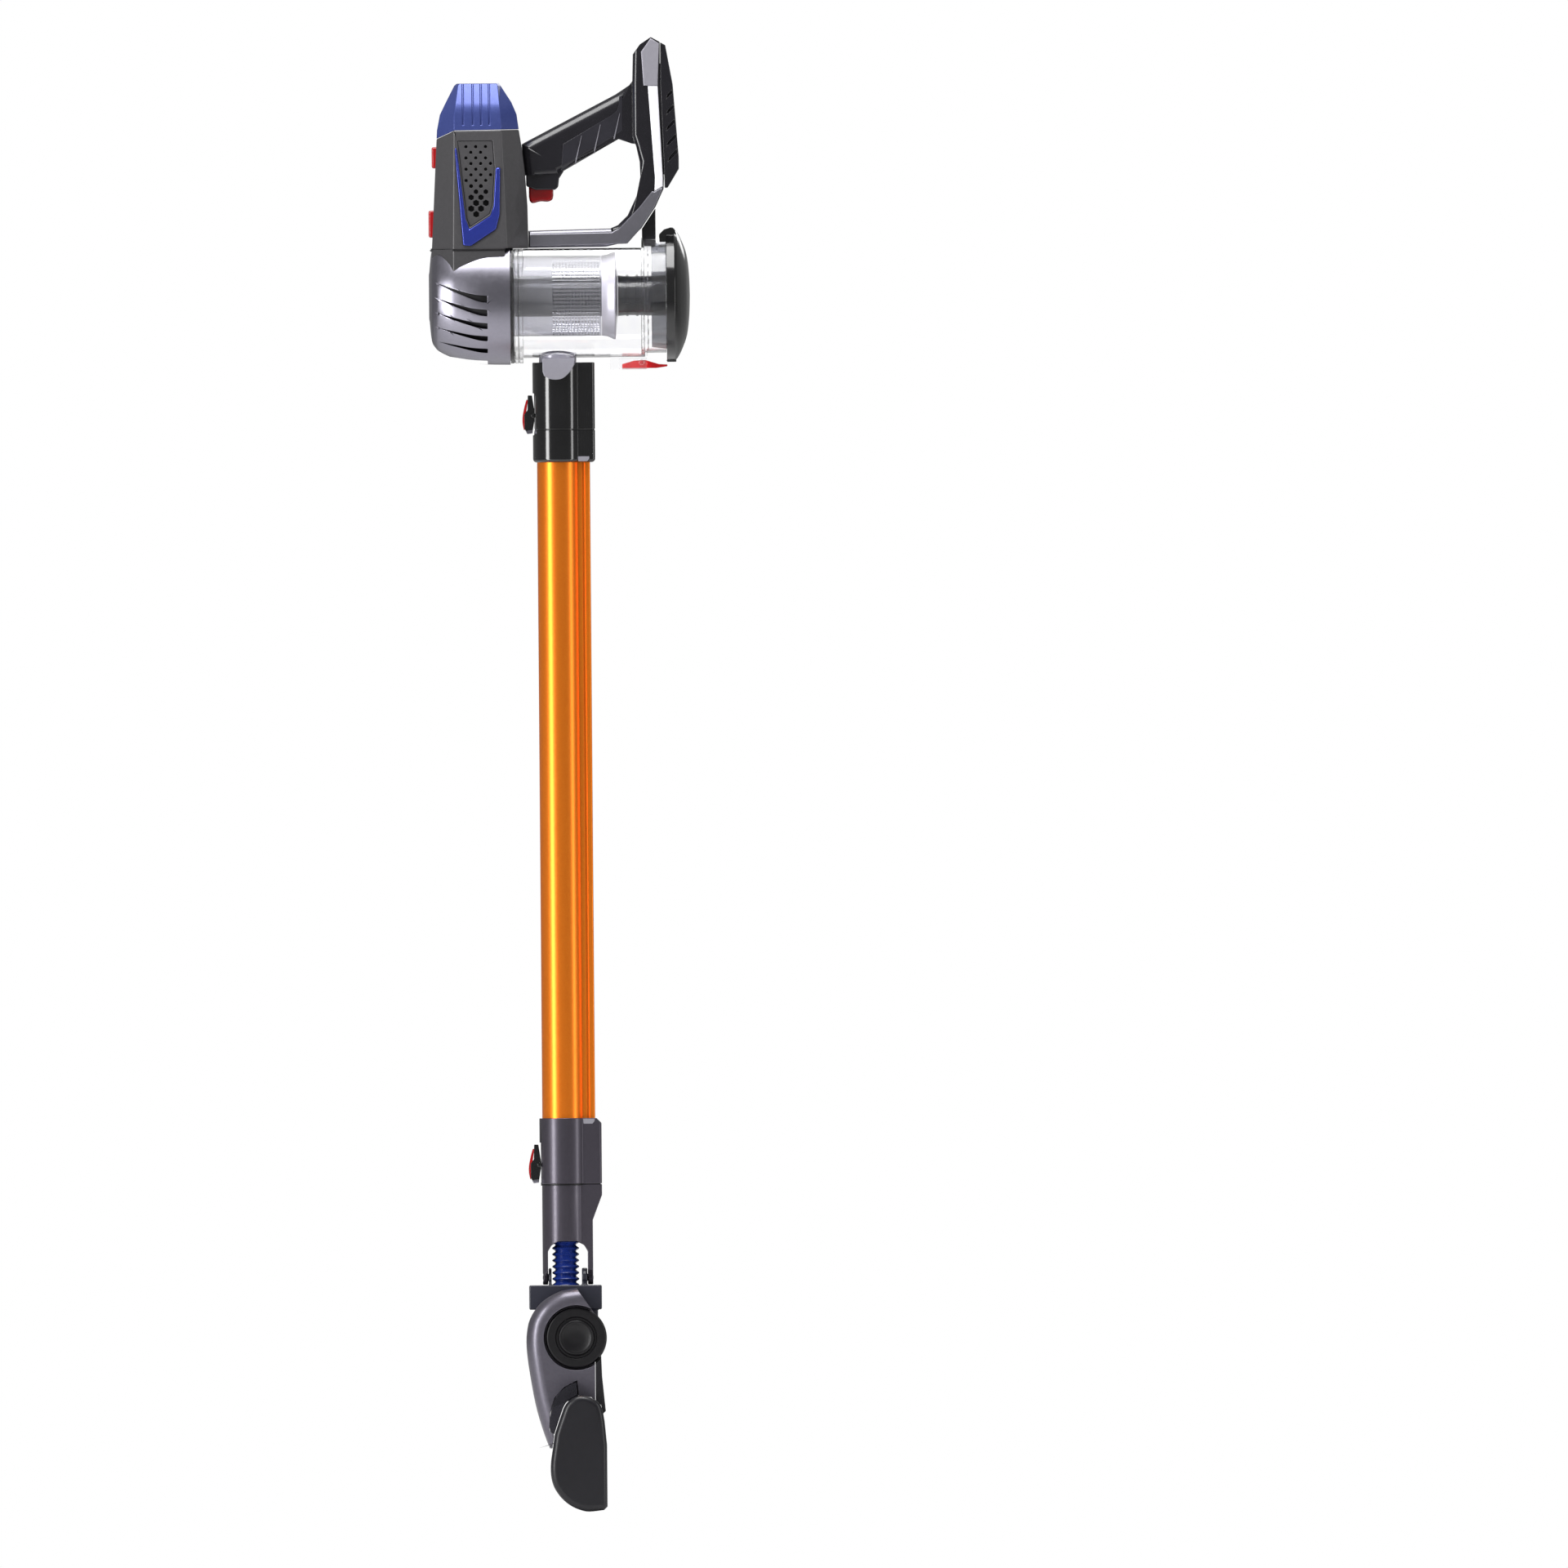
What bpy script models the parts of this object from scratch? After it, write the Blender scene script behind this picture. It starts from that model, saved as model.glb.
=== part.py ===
"""Cordless stick vacuum, hung upright with its floor head straight below the wand.

+Z runs up the wand, +X points to the back of the handle, and the plane Y = 0 is the plane of
symmetry. The origin is on the wand's bore, at the height of the lowest point of the head.
Sizes are in millimetres and are turned into metres when a point is placed.
"""
import math

import bmesh
import bpy
from mathutils import Vector

MM = 0.001

# Clearances
GAP = 0.3
PLAY = 0.4
PIN_PLAY = 0.4

# Heights, from the head up
AXLE_RISE = 142.0
LEAN_RISE = 49.3
FORK_LENGTH = 76.2
SOCKET_LENGTH = 53.8
TUBE_SIGHT = 535.4
COLLAR_LENGTH = 81.6
INLET_GAP = 3.9

# Wand
TUBE_R = 17.5
TUBE_WALL = 1.5
CHANNEL_X = 25.7
CHANNEL_HALF = 8.5
PLUG_DEPTH = 33.0
COLLAR_WALL = 3.2
COLLAR_NOSE = 4.3
SPIGOT_R = 15.2
SPIGOT_WALL = 2.0
SPIGOT_LENGTH = 44.0
LATCH_HALF = 6.5
LATCH_PIN_R = 1.6

# Bin and cyclone
BIN_R = 50.5
BIN_WALL = 2.2
BIN_LENGTH = 117.0
BIN_LEFT = -28.0
FLAT_DEPTH = 11.8
END_STEP = 3.5
END_RING_LENGTH = 20.0
DRUM_STEP = 5.5
DRUM_WALL = 2.5
DRUM_RIGHT = -38.3
MESH_R = 33.0
MESH_RIGHT = 36.0
FLARE_R = 36.0
DUST_TUBE_R = 17.0
CORE_WALL = 2.0
DOOR_STEP = 3.0
DOOR_DOME = 19.4
HINGE_DROP = 1.5
HINGE_HALF = 12.0
HINGE_LUG = 5.6
HINGE_PIN_R = 1.4
SLITS = 5

# Motor tower
SHELL = 2.5
SIDE_LOW = 46.0
SIDE_TOP = 37.0
FRONT_HALF = 22.0
MOTOR_R = 24.0
MOTOR_X = -62.5
IMPELLER_R = 22.0
BLADES = 7
BUTTON_HALF = 7.0

# Handle
GRIP_HALF = 15.0
COLUMN_HALF = 21.0
BAR_HALF = 18.0
TRIM_THICK = 1.4
PACK_LEFT = 74.0

# Neck and head
FORK_R = 18.1
LEG_THICK = 4.4
BELLOWS_R = 11.2
BELLOWS_X = 0.7
KNUCKLE_HALF = 28.0
BARREL_R = 23.5
AXLE_X = 8.8
AXLE_R = 3.2
WHEEL_R = 25.0
WHEEL_INNER = 53.0
WHEEL_WIDTH = 17.0
HEAD_HALF = 125.0
END_CAP = 6.7
REAR_HALF = 72.0
SOLE_X = 33.3
ROLL_X = 12.3
ROLL_Z = 26.6
ROLL_R = 20.4
ROLL_CORE = 14.0
DRIVE_Z = 70.0
DRIVE_X = 13.0
DRIVE_R = 15.0
PULLEY_R = 7.0
ROLL_PULLEY_R = 10.0
BELT_THICK = 1.4
BELT_WIDTH = 6.0

# Round pieces: sides of a large, a middling and a small one
LARGE = 28
MIDDLE = 20
SMALL = 10

# Heights that follow
AXLE_Z = AXLE_RISE
LEAN_Z = AXLE_Z + LEAN_RISE
SEAM_Z = LEAN_Z + FORK_LENGTH
SOCKET_TOP = SEAM_Z + SOCKET_LENGTH
COLLAR_LOW = SOCKET_TOP + TUBE_SIGHT
COLLAR_TOP = COLLAR_LOW + COLLAR_LENGTH
AXIS_Z = COLLAR_TOP + INLET_GAP + BIN_R
DECK_Z = AXIS_Z + BIN_R - FLAT_DEPTH
FLAT = BIN_R - FLAT_DEPTH
END_RING_R = BIN_R - END_STEP
DOOR_R = BIN_R + DOOR_STEP
BIN_RIGHT = BIN_LEFT + BIN_LENGTH
DRUM_R = BIN_R + DRUM_STEP
HINGE_X = BIN_RIGHT + 4.6
HINGE_Z = AXIS_Z + DOOR_R - HINGE_DROP
TUBE_LOW = SOCKET_TOP - PLUG_DEPTH
TUBE_TOP = COLLAR_LOW + PLUG_DEPTH

# Finishes: colour, roughness, metallic
GREY_BODY = ((0.075, 0.072, 0.072), 0.4, 0.3)
BLACK = ((0.02, 0.02, 0.022), 0.4, 0.0)
SILVER = ((0.36, 0.35, 0.4), 0.3, 0.8)
PALE_SILVER = ((0.72, 0.71, 0.76), 0.3, 0.7)
BLUE = ((0.05, 0.08, 0.36), 0.35, 0.2)
RED = ((0.6, 0.02, 0.02), 0.35, 0.0)
CLEAR = ((0.85, 0.86, 0.88), 0.05, 0.0)
SMOKE = ((0.3, 0.3, 0.32), 0.1, 0.0)
PALE_GREY = ((0.45, 0.45, 0.46), 0.45, 0.0)
ORANGE = ((0.83, 0.26, 0.02), 0.3, 0.9)
RUBBER = ((0.015, 0.015, 0.015), 0.8, 0.0)
STEEL = ((0.55, 0.55, 0.56), 0.3, 1.0)
FELT = ((0.75, 0.74, 0.7), 0.95, 0.0)
GREEN = ((0.02, 0.16, 0.07), 0.5, 0.0)


# ---------------------------------------------------------------- tools

def spot(along, station, across, up):
    """Point in metres at a station along one axis, given its other two coordinates in order."""
    if along == "X":
        return Vector((station, across, up)) * MM
    if along == "Y":
        return Vector((across, station, up)) * MM
    return Vector((across, up, station)) * MM


def loft(rings, closed=False):
    """Body through rings of points; a ring of one point is a tip, and other ends are capped."""
    mesh = bmesh.new()
    layers = [[mesh.verts.new(point) for point in ring] for ring in rings]
    pairs = list(zip(layers, layers[1:]))
    if closed:
        pairs.append((layers[-1], layers[0]))
    for low, high in pairs:
        count = max(len(low), len(high))
        for side in range(count):
            after = (side + 1) % count
            if len(low) == 1:
                mesh.faces.new((low[0], high[side], high[after]))
            elif len(high) == 1:
                mesh.faces.new((low[side], low[after], high[0]))
            else:
                mesh.faces.new((low[side], low[after], high[after], high[side]))
    if not closed:
        for end in (layers[0], layers[-1]):
            if len(end) > 2:
                mesh.faces.new(end)
    bmesh.ops.recalc_face_normals(mesh, faces=mesh.faces)
    data = bpy.data.meshes.new("shape")
    mesh.to_mesh(data)
    mesh.free()
    body = bpy.data.objects.new("shape", data)
    bpy.context.scene.collection.objects.link(body)
    return body


def prism(along, low, high, outline):
    """Outline extruded along one axis."""
    return loft([[spot(along, station, u, v) for u, v in outline] for station in (low, high)])


def block(x, y, z):
    """Box between two corners, given as its range along each axis."""
    outline = [(x[0], z[0]), (x[1], z[0]), (x[1], z[1]), (x[0], z[1])]
    return prism("Y", y[0], y[1], outline)


def circle(centre, radius, count):
    """Points of a circle."""
    turns = [2 * math.pi * (k + 0.5) / count for k in range(count)]
    return [(centre[0] + radius * math.cos(t), centre[1] + radius * math.sin(t)) for t in turns]


def rod(along, centre, radius, low, high, count=MIDDLE):
    """Cylinder along one axis."""
    return prism(along, low, high, circle(centre, radius, count))


def turned(along, centre, profile, count=MIDDLE):
    """Turned body. A profile that starts on the axis is a solid, and any other is a ring."""
    rings = []
    for station, radius in profile:
        if radius == 0:
            rings.append([spot(along, station, *centre)])
        else:
            ring = circle(centre, radius, count)
            rings.append([spot(along, station, u, v) for u, v in ring])
    return loft(rings, closed=profile[0][1] != 0)


def inset(outline, depth):
    """Outline moved inwards by a depth, or outwards by a negative one."""
    size = len(outline)
    area = sum(
        outline[k][0] * outline[(k + 1) % size][1] - outline[(k + 1) % size][0] * outline[k][1]
        for k in range(size)
    )
    turn = 1 if area > 0 else -1
    moved = []
    for k in range(size):
        before, here, after = (Vector(outline[(k + step) % size]) for step in (-1, 0, 1))
        first = (here - before).normalized()
        second = (after - here).normalized()
        normal = Vector((-first.y, first.x)) * turn
        other = Vector((-second.y, second.x)) * turn
        shift = (normal + other) * (depth / (1 + normal.dot(other)))
        moved.append(tuple(here + shift))
    return moved


def lift(outline, height):
    """Side outline raised by a height."""
    return [(x, z + height) for x, z in outline]


def change(body, operation, tools):
    """Body after a boolean with each tool; the tools are used up."""
    for tool in tools:
        step = body.modifiers.new("fit", "BOOLEAN")
        step.operation = operation
        step.solver = "EXACT"
        step.object = tool
    graph = bpy.context.evaluated_depsgraph_get()
    mesh = bpy.data.meshes.new_from_object(body.evaluated_get(graph))
    body.modifiers.clear()
    body.data = mesh
    for tool in tools:
        bpy.data.objects.remove(tool)
    return body


def cut(body, *tools):
    """Body less each tool."""
    return change(body, "DIFFERENCE", tools)


def join(body, *tools):
    """Body with each tool added."""
    return change(body, "UNION", tools)


def keep(body, *tools):
    """The part of the body inside each tool."""
    return change(body, "INTERSECT", tools)


def twin(body):
    """Separate copy of a body."""
    copy = body.copy()
    copy.data = body.data.copy()
    bpy.context.scene.collection.objects.link(copy)
    return copy


def halves(body):
    """The two sides of a body, parted at the plane of symmetry."""
    reach = 400
    other = twin(body)
    left = cut(body, block((-reach, reach), (-GAP / 2, reach), (0, 4 * reach)))
    right = cut(other, block((-reach, reach), (-reach, GAP / 2), (0, 4 * reach)))
    return left, right


def node(name, body, finish, pivot=(0, 0, 0)):
    """Names a finished body, paints it and puts its origin on its joint's axis."""
    colour, roughness, metallic = finish
    paint = bpy.data.materials.new(name + "_finish")
    paint.use_nodes = True
    shader = paint.node_tree.nodes["Principled BSDF"]
    shader.inputs["Base Color"].default_value = (*colour, 1)
    shader.inputs["Roughness"].default_value = roughness
    shader.inputs["Metallic"].default_value = metallic
    mesh = body.data
    mesh.materials.clear()
    mesh.materials.append(paint)
    work = bmesh.new()
    work.from_mesh(mesh)
    bmesh.ops.remove_doubles(work, verts=work.verts, dist=MM / 1000)
    bmesh.ops.dissolve_degenerate(work, dist=MM / 1000, edges=work.edges)
    origin = Vector(pivot) * MM
    bmesh.ops.translate(work, verts=work.verts, vec=-origin)
    work.to_mesh(mesh)
    work.free()
    body.location = origin
    mesh.shade_smooth()
    mesh.set_sharp_from_angle(angle=math.radians(30))
    body.name = name
    mesh.name = name


# ---------------------------------------------------------------- motor tower

def tower_outline(height):
    """Eight-sided plan of the motor tower at a height over the deck."""
    left = -101.9 + 0.05 * max(height, 0)
    left_edge = -84.5 + 0.0145 * max(height, 0)
    right_edge = -40.7 - 0.042 * max(height, 0)
    right = -23.0 - 7.2 * max(height / 97.0, 0) ** 2.4
    side = SIDE_LOW + (SIDE_TOP - SIDE_LOW) * max(height, 0) / 97.0
    return [
        (left, -FRONT_HALF), (left_edge, -side), (right_edge, -side), (right, -FRONT_HALF),
        (right, FRONT_HALF), (right_edge, side), (left_edge, side), (left, FRONT_HALF),
    ]


def tower(grow, low, high):
    """Body of the motor tower, grown outwards, between two heights over the deck."""
    heights = [low] + [h for h in (0, 35, 62, 82) if low < h < high] + [high]
    rings = []
    for height in heights:
        outline = inset(tower_outline(height), -grow)
        rings.append([spot("Z", DECK_Z + height, x, y) for x, y in outline])
    return loft(rings)


def drum_outside(grow):
    """Outer profile of the cyclone drum from its closed left end, grown outwards."""
    drops = [
        (-104.6, DRUM_R), (-104.2, DRUM_R - 20), (-102.5, 20), (-96, 11), (-80, 4.5),
        (-57.2, 0.4), (DRUM_RIGHT, 0),
    ]
    return [(x - grow * (drop > 7), DRUM_R - drop + grow * (drop < DRUM_R)) for x, drop in drops]


def drum_solid(grow):
    """The space that the cyclone drum fills."""
    profile = drum_outside(grow)
    profile.append((DRUM_RIGHT + grow, profile[-1][1]))
    profile.append((DRUM_RIGHT + grow, 0))
    return turned("X", (0, AXIS_Z), profile, LARGE)


VENT = [(-80, 88), (-52, 88), (-50.6, 66), (-52.4, 36), (-55, 28.6), (-70.6, 18.4), (-73, 25)]
TRIM = [
    (-82.9, 82.5), (-76.4, 3), (-70, 2.6), (-49.4, 16.1), (-46.4, 28), (-45.6, 66.3),
    (-49.4, 66.3), (-51.4, 35), (-54, 27.2), (-71.2, 16.2), (-74.2, 24.6), (-81.2, 82.5),
]
CAP_SEAM = [(-112, 83.5), (-83, 96.8), (-18, 97.6)]
CAP_TOP = 135.1


def cap_band(low):
    """The space over, or under, the seam between the tower and the filter cap."""
    seam = CAP_SEAM if low else [(x, z - GAP) for x, z in CAP_SEAM]
    end = 20 if low else CAP_TOP + 20
    outline = lift([*seam, (-18, end), (-112, end)], DECK_Z)
    return prism("Y", -60, 60, outline)


def side_slab(outline, side, low, high):
    """Plate of one outline that follows the tower's side between two depths off it."""
    reach = side * 80
    ends = sorted((0, reach))
    plate = prism("Y", *ends, lift(outline, DECK_Z))
    keep(plate, tower(high, -2, 99))
    return cut(plate, tower(low, -4, 101))


def button_hole(x, z):
    """Opening in the tower's front wall for a button."""
    half = BUTTON_HALF + PLAY
    return block((x - 12, x + 12), (-half, half), (z[0] - PLAY, z[1] + PLAY))


CAP_BUTTON = (66.0, 83.5)
BIN_BUTTON = (9.5, 31.6)


def build_housing():
    """Two shells of the motor tower, over the cyclone drum."""
    shell = tower(0, -28, 97.5)
    cut(shell, tower(-SHELL, -30, 99))
    cut(shell, cap_band(low=False))
    cut(shell, drum_solid(GAP))
    cut(shell, block((DRUM_RIGHT - 4, 0), (-60, 60), (DECK_Z - 60, DECK_Z + GAP)))
    for heights in (CAP_BUTTON, BIN_BUTTON):
        low, high = (DECK_Z + height for height in heights)
        cut(shell, button_hole(tower_outline(heights[0])[0][0], (low, high)))
    window = lift(inset(VENT, -GAP), DECK_Z)
    cut(shell, prism("Y", -60, 60, window))
    left, right = halves(shell)
    node("housing_left", left, GREY_BODY)
    node("housing_right", right, GREY_BODY)


def build_vents():
    """Honeycomb grille and blue trim on each side of the tower."""
    for side, word in ((-1, "left"), (1, "right")):
        grille = side_slab(VENT, side, -SHELL, -0.5)
        holes = []
        for column in range(3):
            for row in range(5):
                x = -73.5 + 8.2 * column + 0.08 * row
                z = 78 - 10.2 * row - 5.1 * (column % 2)
                holes.append(prism("Y", -70, 70, circle((x, DECK_Z + z), 3, 6)))
        node("vent_grille_" + word, cut(grille, *holes), BLACK)
        node("vent_trim_" + word, side_slab(TRIM, side, GAP, 1.8), BLUE)


def build_drum():
    """Silver cyclone drum with slanted slits in its wall."""
    outside = drum_outside(0)
    inside = [(x + DRUM_WALL * (r < DRUM_R - 7), max(r - DRUM_WALL, 0)) for x, r in outside]
    drum = turned("X", (0, AXIS_Z), outside + inside[::-1], LARGE)
    slits = []
    for k in range(SLITS):
        start = (-94, AXIS_Z + 9.3 - 10.9 * k)
        end = (-57, AXIS_Z - 2.7 - 11.9 * k)
        outline = [
            (start[0], start[1] + 0.4), (end[0], end[1] + 2),
            (end[0], end[1] - 2), (start[0], start[1] - 0.4),
        ]
        slits.append(prism("Y", -70, 70, outline))
    port = rod("Z", (MOTOR_X, 0), IMPELLER_R - 6, AXIS_Z, DECK_Z + 40, MIDDLE)
    node("cyclone_drum", cut(drum, *slits, port), SILVER)


def flat_round(radius, flat, count=LARGE):
    """Circle with its top cut off flat, as points across and up from the bin's axis."""
    start = math.asin(flat / radius)
    sweep = math.pi + 2 * start
    turns = [start - sweep * k / count for k in range(count + 1)]
    return [(radius * math.cos(t), AXIS_Z + radius * math.sin(t)) for t in turns]


def build_cyclone():
    """Ring, screen, cone, vortex tube, dust tube and filter along the bin's axis."""
    ring = prism("X", DRUM_RIGHT + GAP, BIN_LEFT, flat_round(BIN_R + 4.5, FLAT))
    hole = prism("X", DRUM_RIGHT - 5, BIN_LEFT + 5, flat_round(BIN_R - 4, FLAT - 4))
    node("bin_gasket", cut(ring, hole), CLEAR)
    axis = (0, AXIS_Z)
    rim = DRUM_R - DRUM_WALL - GAP
    plate = turned("X", axis, [
        (DRUM_RIGHT - 3, MESH_R - 6), (DRUM_RIGHT - 3, rim), (DRUM_RIGHT, rim), (DRUM_RIGHT, MESH_R - 6),
    ], LARGE)
    node("separator_plate", plate, BLACK)
    inner = MESH_R - CORE_WALL
    start = DRUM_RIGHT + GAP
    screen = turned("X", axis, [
        (start, inner), (start, MESH_R), (MESH_RIGHT, MESH_R), (MESH_RIGHT, inner),
    ], LARGE)
    slots = [
        block((1, MESH_RIGHT - 4), (-60, 60), (AXIS_Z + 8 * k - 1.5, AXIS_Z + 8 * k + 1.5))
        for k in (-2, -1, 0, 1, 2)
    ]
    node("mesh_screen", cut(screen, *slots), PALE_GREY)
    near = MESH_RIGHT + GAP
    core = DUST_TUBE_R - CORE_WALL
    cone = turned("X", axis, [
        (near, MESH_R - CORE_WALL), (near, MESH_R), (near + 6, FLARE_R), (near + 11, FLARE_R),
        (near + 13, DUST_TUBE_R), (near + 13, core), (near + 9, core), (near + 7, FLARE_R - 5),
    ], LARGE)
    node("cyclone_cone", cone, PALE_GREY)
    vortex = turned("X", axis, [
        (start, core), (start, DUST_TUBE_R), (near + 6, DUST_TUBE_R), (near + 6, core),
    ], MIDDLE)
    node("vortex_tube", vortex, BLACK)
    left = near + 13 + GAP
    tube = turned("X", axis, [
        (left, core), (left, DUST_TUBE_R), (BIN_RIGHT - GAP, DUST_TUBE_R), (BIN_RIGHT - GAP, core),
    ], MIDDLE)
    node("dust_tube", tube, BLACK)
    cloth = turned("X", axis, [
        (-92, 0), (-92, 24), (DRUM_RIGHT - 6, 30), (DRUM_RIGHT - 6, 22), (-86, 16), (-86, 0),
    ], MIDDLE)
    node("pre_filter", cloth, FELT)


def build_motor():
    """Suction motor, its impeller and its control board inside the tower."""
    centre = (MOTOR_X, 0)
    node("motor_can", rod("Z", centre, MOTOR_R, DECK_Z + 42, DECK_Z + 84), STEEL)
    low = DECK_Z + 26
    wheel = rod("Z", centre, IMPELLER_R, low, low + 2, MIDDLE)
    blades = [rod("Z", centre, 6, low + 1, low + 12, SMALL)]
    for k in range(BLADES):
        turn = 2 * math.pi * k / BLADES
        near = (MOTOR_X + 4 * math.cos(turn), 4 * math.sin(turn))
        far = (MOTOR_X + 20 * math.cos(turn + 0.5), 20 * math.sin(turn + 0.5))
        wide = Vector((near[1] - far[1], far[0] - near[0])).normalized() * 0.6
        outline = [
            (near[0] + wide.x, near[1] + wide.y), (far[0] + wide.x, far[1] + wide.y),
            (far[0] - wide.x, far[1] - wide.y), (near[0] - wide.x, near[1] - wide.y),
        ]
        blades.append(prism("Z", low + 1, low + 10, outline))
    node("impeller", join(wheel, *blades), PALE_GREY, (MOTOR_X, 0, low))
    board = block((-35.5, -33.9), (-14, 14), (DECK_Z + 26, DECK_Z + 80))
    node("control_board", board, GREEN)


def build_cap():
    """Ribbed filter cap on the tower, with its filter, and the two buttons."""
    sections = [
        (80, *tower_sizes(80)), (97, *tower_sizes(97)), (109.7, -94.6, -83, -45.3, -31.9, 35.6, 21),
        (119.5, -89.8, -81.5, -46, -36, 32, 19), (133.3, -82.7, -79.6, -47.2, -44.8, 24, 15),
        (CAP_TOP, -80.7, -78.6, -48, -46, 22, 13),
    ]
    cap = cap_loft(sections, 0)
    hollow = cap_loft([s if k < 4 else (s[0] - 4, *s[1:]) for k, s in enumerate(sections)], SHELL)
    cut(cap, hollow)
    cut(cap, cap_band(low=True))
    node("filter_cap", cap, BLUE)
    pad = inset(tower_outline(97), 6)
    node("exhaust_filter", prism("Z", DECK_Z + 99, DECK_Z + 112, inset(pad, 2)), FELT)
    for name, heights, proud, depth in (
        ("cap_button", CAP_BUTTON, 3.4, 4.2), ("bin_button", BIN_BUTTON, 3.6, 4.2),
    ):
        face = tower_outline(sum(heights) / 2)[0][0]
        low, high = (DECK_Z + height for height in heights)
        body = block((face - proud, face + depth), (-BUTTON_HALF, BUTTON_HALF), (low, high))
        node(name, body, RED, (face, 0, (low + high) / 2))


def tower_sizes(height):
    """Left, left edge, right edge, right, side and front of the tower's plan."""
    outline = tower_outline(height)
    return outline[0][0], outline[1][0], outline[2][0], outline[3][0], outline[5][1], outline[4][1]


def cap_loft(sections, depth):
    """Filter cap's body through plans of given sizes, moved inwards by a depth."""
    rings = []
    for height, left, left_edge, right_edge, right, side, front in sections:
        outline = [
            (left, -front), (left_edge, -side), (right_edge, -side), (right, -front),
            (right, front), (right_edge, side), (left_edge, side), (left, front),
        ]
        outline = inset(outline, depth)
        rings.append([spot("Z", DECK_Z + height, x, y) for x, y in outline])
    return loft(rings)


# ---------------------------------------------------------------- handle

COLUMN = [
    (62.6, 132), (63.3, 157.9), (69, 165.9), (78.1, 172), (85.4, 168), (85.2, 133.3), (88, 56.7),
    (87.6, 47.9), (80.9, 33.3), (69.2, 15.9), (57.8, 4.9), (47, 2.6), (48, 16.1), (58, 26.4),
    (65.4, 41.9), (68.7, 57.9), (68.2, 70.3), (65.5, 82.6), (62.6, 92),
]
GRIP = [
    (-34, 82), (-24.9, 86.9), (48.8, 125.2), (60, 132.6), (66, 140), (74, 140), (74, 84), (62, 85),
    (51.1, 88.8), (1.5, 60.5), (-34, 59.6),
]
BAR = [(-34, 0.5), (-34, 14.6), (46, 16.1), (56, 16.1), (57.6, 4.9), (40, 1)]
STRIP = [
    (71.5, 162), (78.1, 170.2), (84.4, 166), (83.6, 133.3), (87, 56.7), (86.6, 48.4), (80.3, 35),
    (68.4, 17.5), (57, 6.2), (40, 3.4), (40, 8.6), (54, 11), (63.6, 20.4), (75.2, 37.8), (79.6, 51),
    (80, 56.7), (74.7, 133.3),
]
PACK = [
    (85.7, 167.6), (89.9, 165.3), (95.7, 133.3), (100.2, 74), (100.2, 64.1), (90.9, 48.7),
    (88.4, 48.7), (88.3, 56.7), (85.5, 133.3),
]
PACK_BOX = (60.0, 150.0)
PAD_DEPTH = 3.0


def pad_line(share, depth):
    """Point along the underside of the grip, at a depth into it."""
    low, high = Vector((3.5, 61.6)), Vector((50.5, 88.5))
    run = (high - low).normalized()
    point = low.lerp(high, share) + Vector((-run.y, run.x)) * depth
    return point.x, point.y


def build_handle():
    """Two handle shells with a pocket for the battery and hollow grip."""
    grip = prism("Y", -GRIP_HALF, GRIP_HALF, lift(GRIP, DECK_Z))
    column = prism("Y", -COLUMN_HALF, COLUMN_HALF, lift(COLUMN, DECK_Z))
    bar = prism("Y", -BAR_HALF, BAR_HALF, lift(BAR, DECK_Z))
    shell = join(column, grip, bar)
    cut(shell, tower(GAP, -10, 101))
    tall = (DECK_Z + PACK_BOX[0] - PLAY, DECK_Z + PACK_BOX[1] + PLAY)
    room = COLUMN_HALF - SHELL
    cut(shell, block((PACK_LEFT - PLAY, 110), (-room, room), tall))
    hollow = [(-22, 66), (2, 66.5), (48, 93), (62, 94), (62, 126), (50, 120.5), (-22, 82.5)]
    cut(shell, prism("Y", -GRIP_HALF + SHELL, GRIP_HALF - SHELL, lift(hollow, DECK_Z)))
    duct = [(-18, 4), (-18, 11), (44, 12.6), (52, 12.6), (52, 7.4), (40, 4.4)]
    cut(shell, prism("Y", -BAR_HALF + SHELL, BAR_HALF - SHELL, lift(duct, DECK_Z)))
    bed = PAD_DEPTH + GAP
    notch = [pad_line(0, -4), pad_line(1, -4), pad_line(1.004, bed), pad_line(-0.004, bed)]
    cut(shell, prism("Y", -GRIP_HALF - 5, GRIP_HALF + 5, lift(notch, DECK_Z)))
    left, right = halves(shell)
    node("handle_left", left, BLACK)
    node("handle_right", right, BLACK)
    pad = [pad_line(0, PAD_DEPTH), pad_line(0, 0.4)]
    for share in (0.24, 0.52, 0.8):
        pad += [pad_line(share, 0.4), pad_line(share + 0.03, -1.2), pad_line(share + 0.06, 0.4)]
    pad += [pad_line(0.996, 0.4), pad_line(0.996, PAD_DEPTH)]
    node("grip_pad", prism("Y", -GRIP_HALF, GRIP_HALF, lift(pad, DECK_Z)), RUBBER)
    for side, word in ((-1, "left"), (1, "right")):
        near = COLUMN_HALF + GAP
        ends = sorted((side * near, side * (near + TRIM_THICK)))
        node("handle_trim_" + word, prism("Y", *ends, lift(STRIP, DECK_Z)), PALE_SILVER)
    strut = [(69.6, 9.2), (80.8, 9.2), (80.8, 32.2), (69.6, 15.4)]
    node("rear_strut", prism("Y", -9, 9, lift(strut, DECK_Z)), BLACK)


TRIGGER_PIVOT = (-18.2, 50.4)


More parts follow.
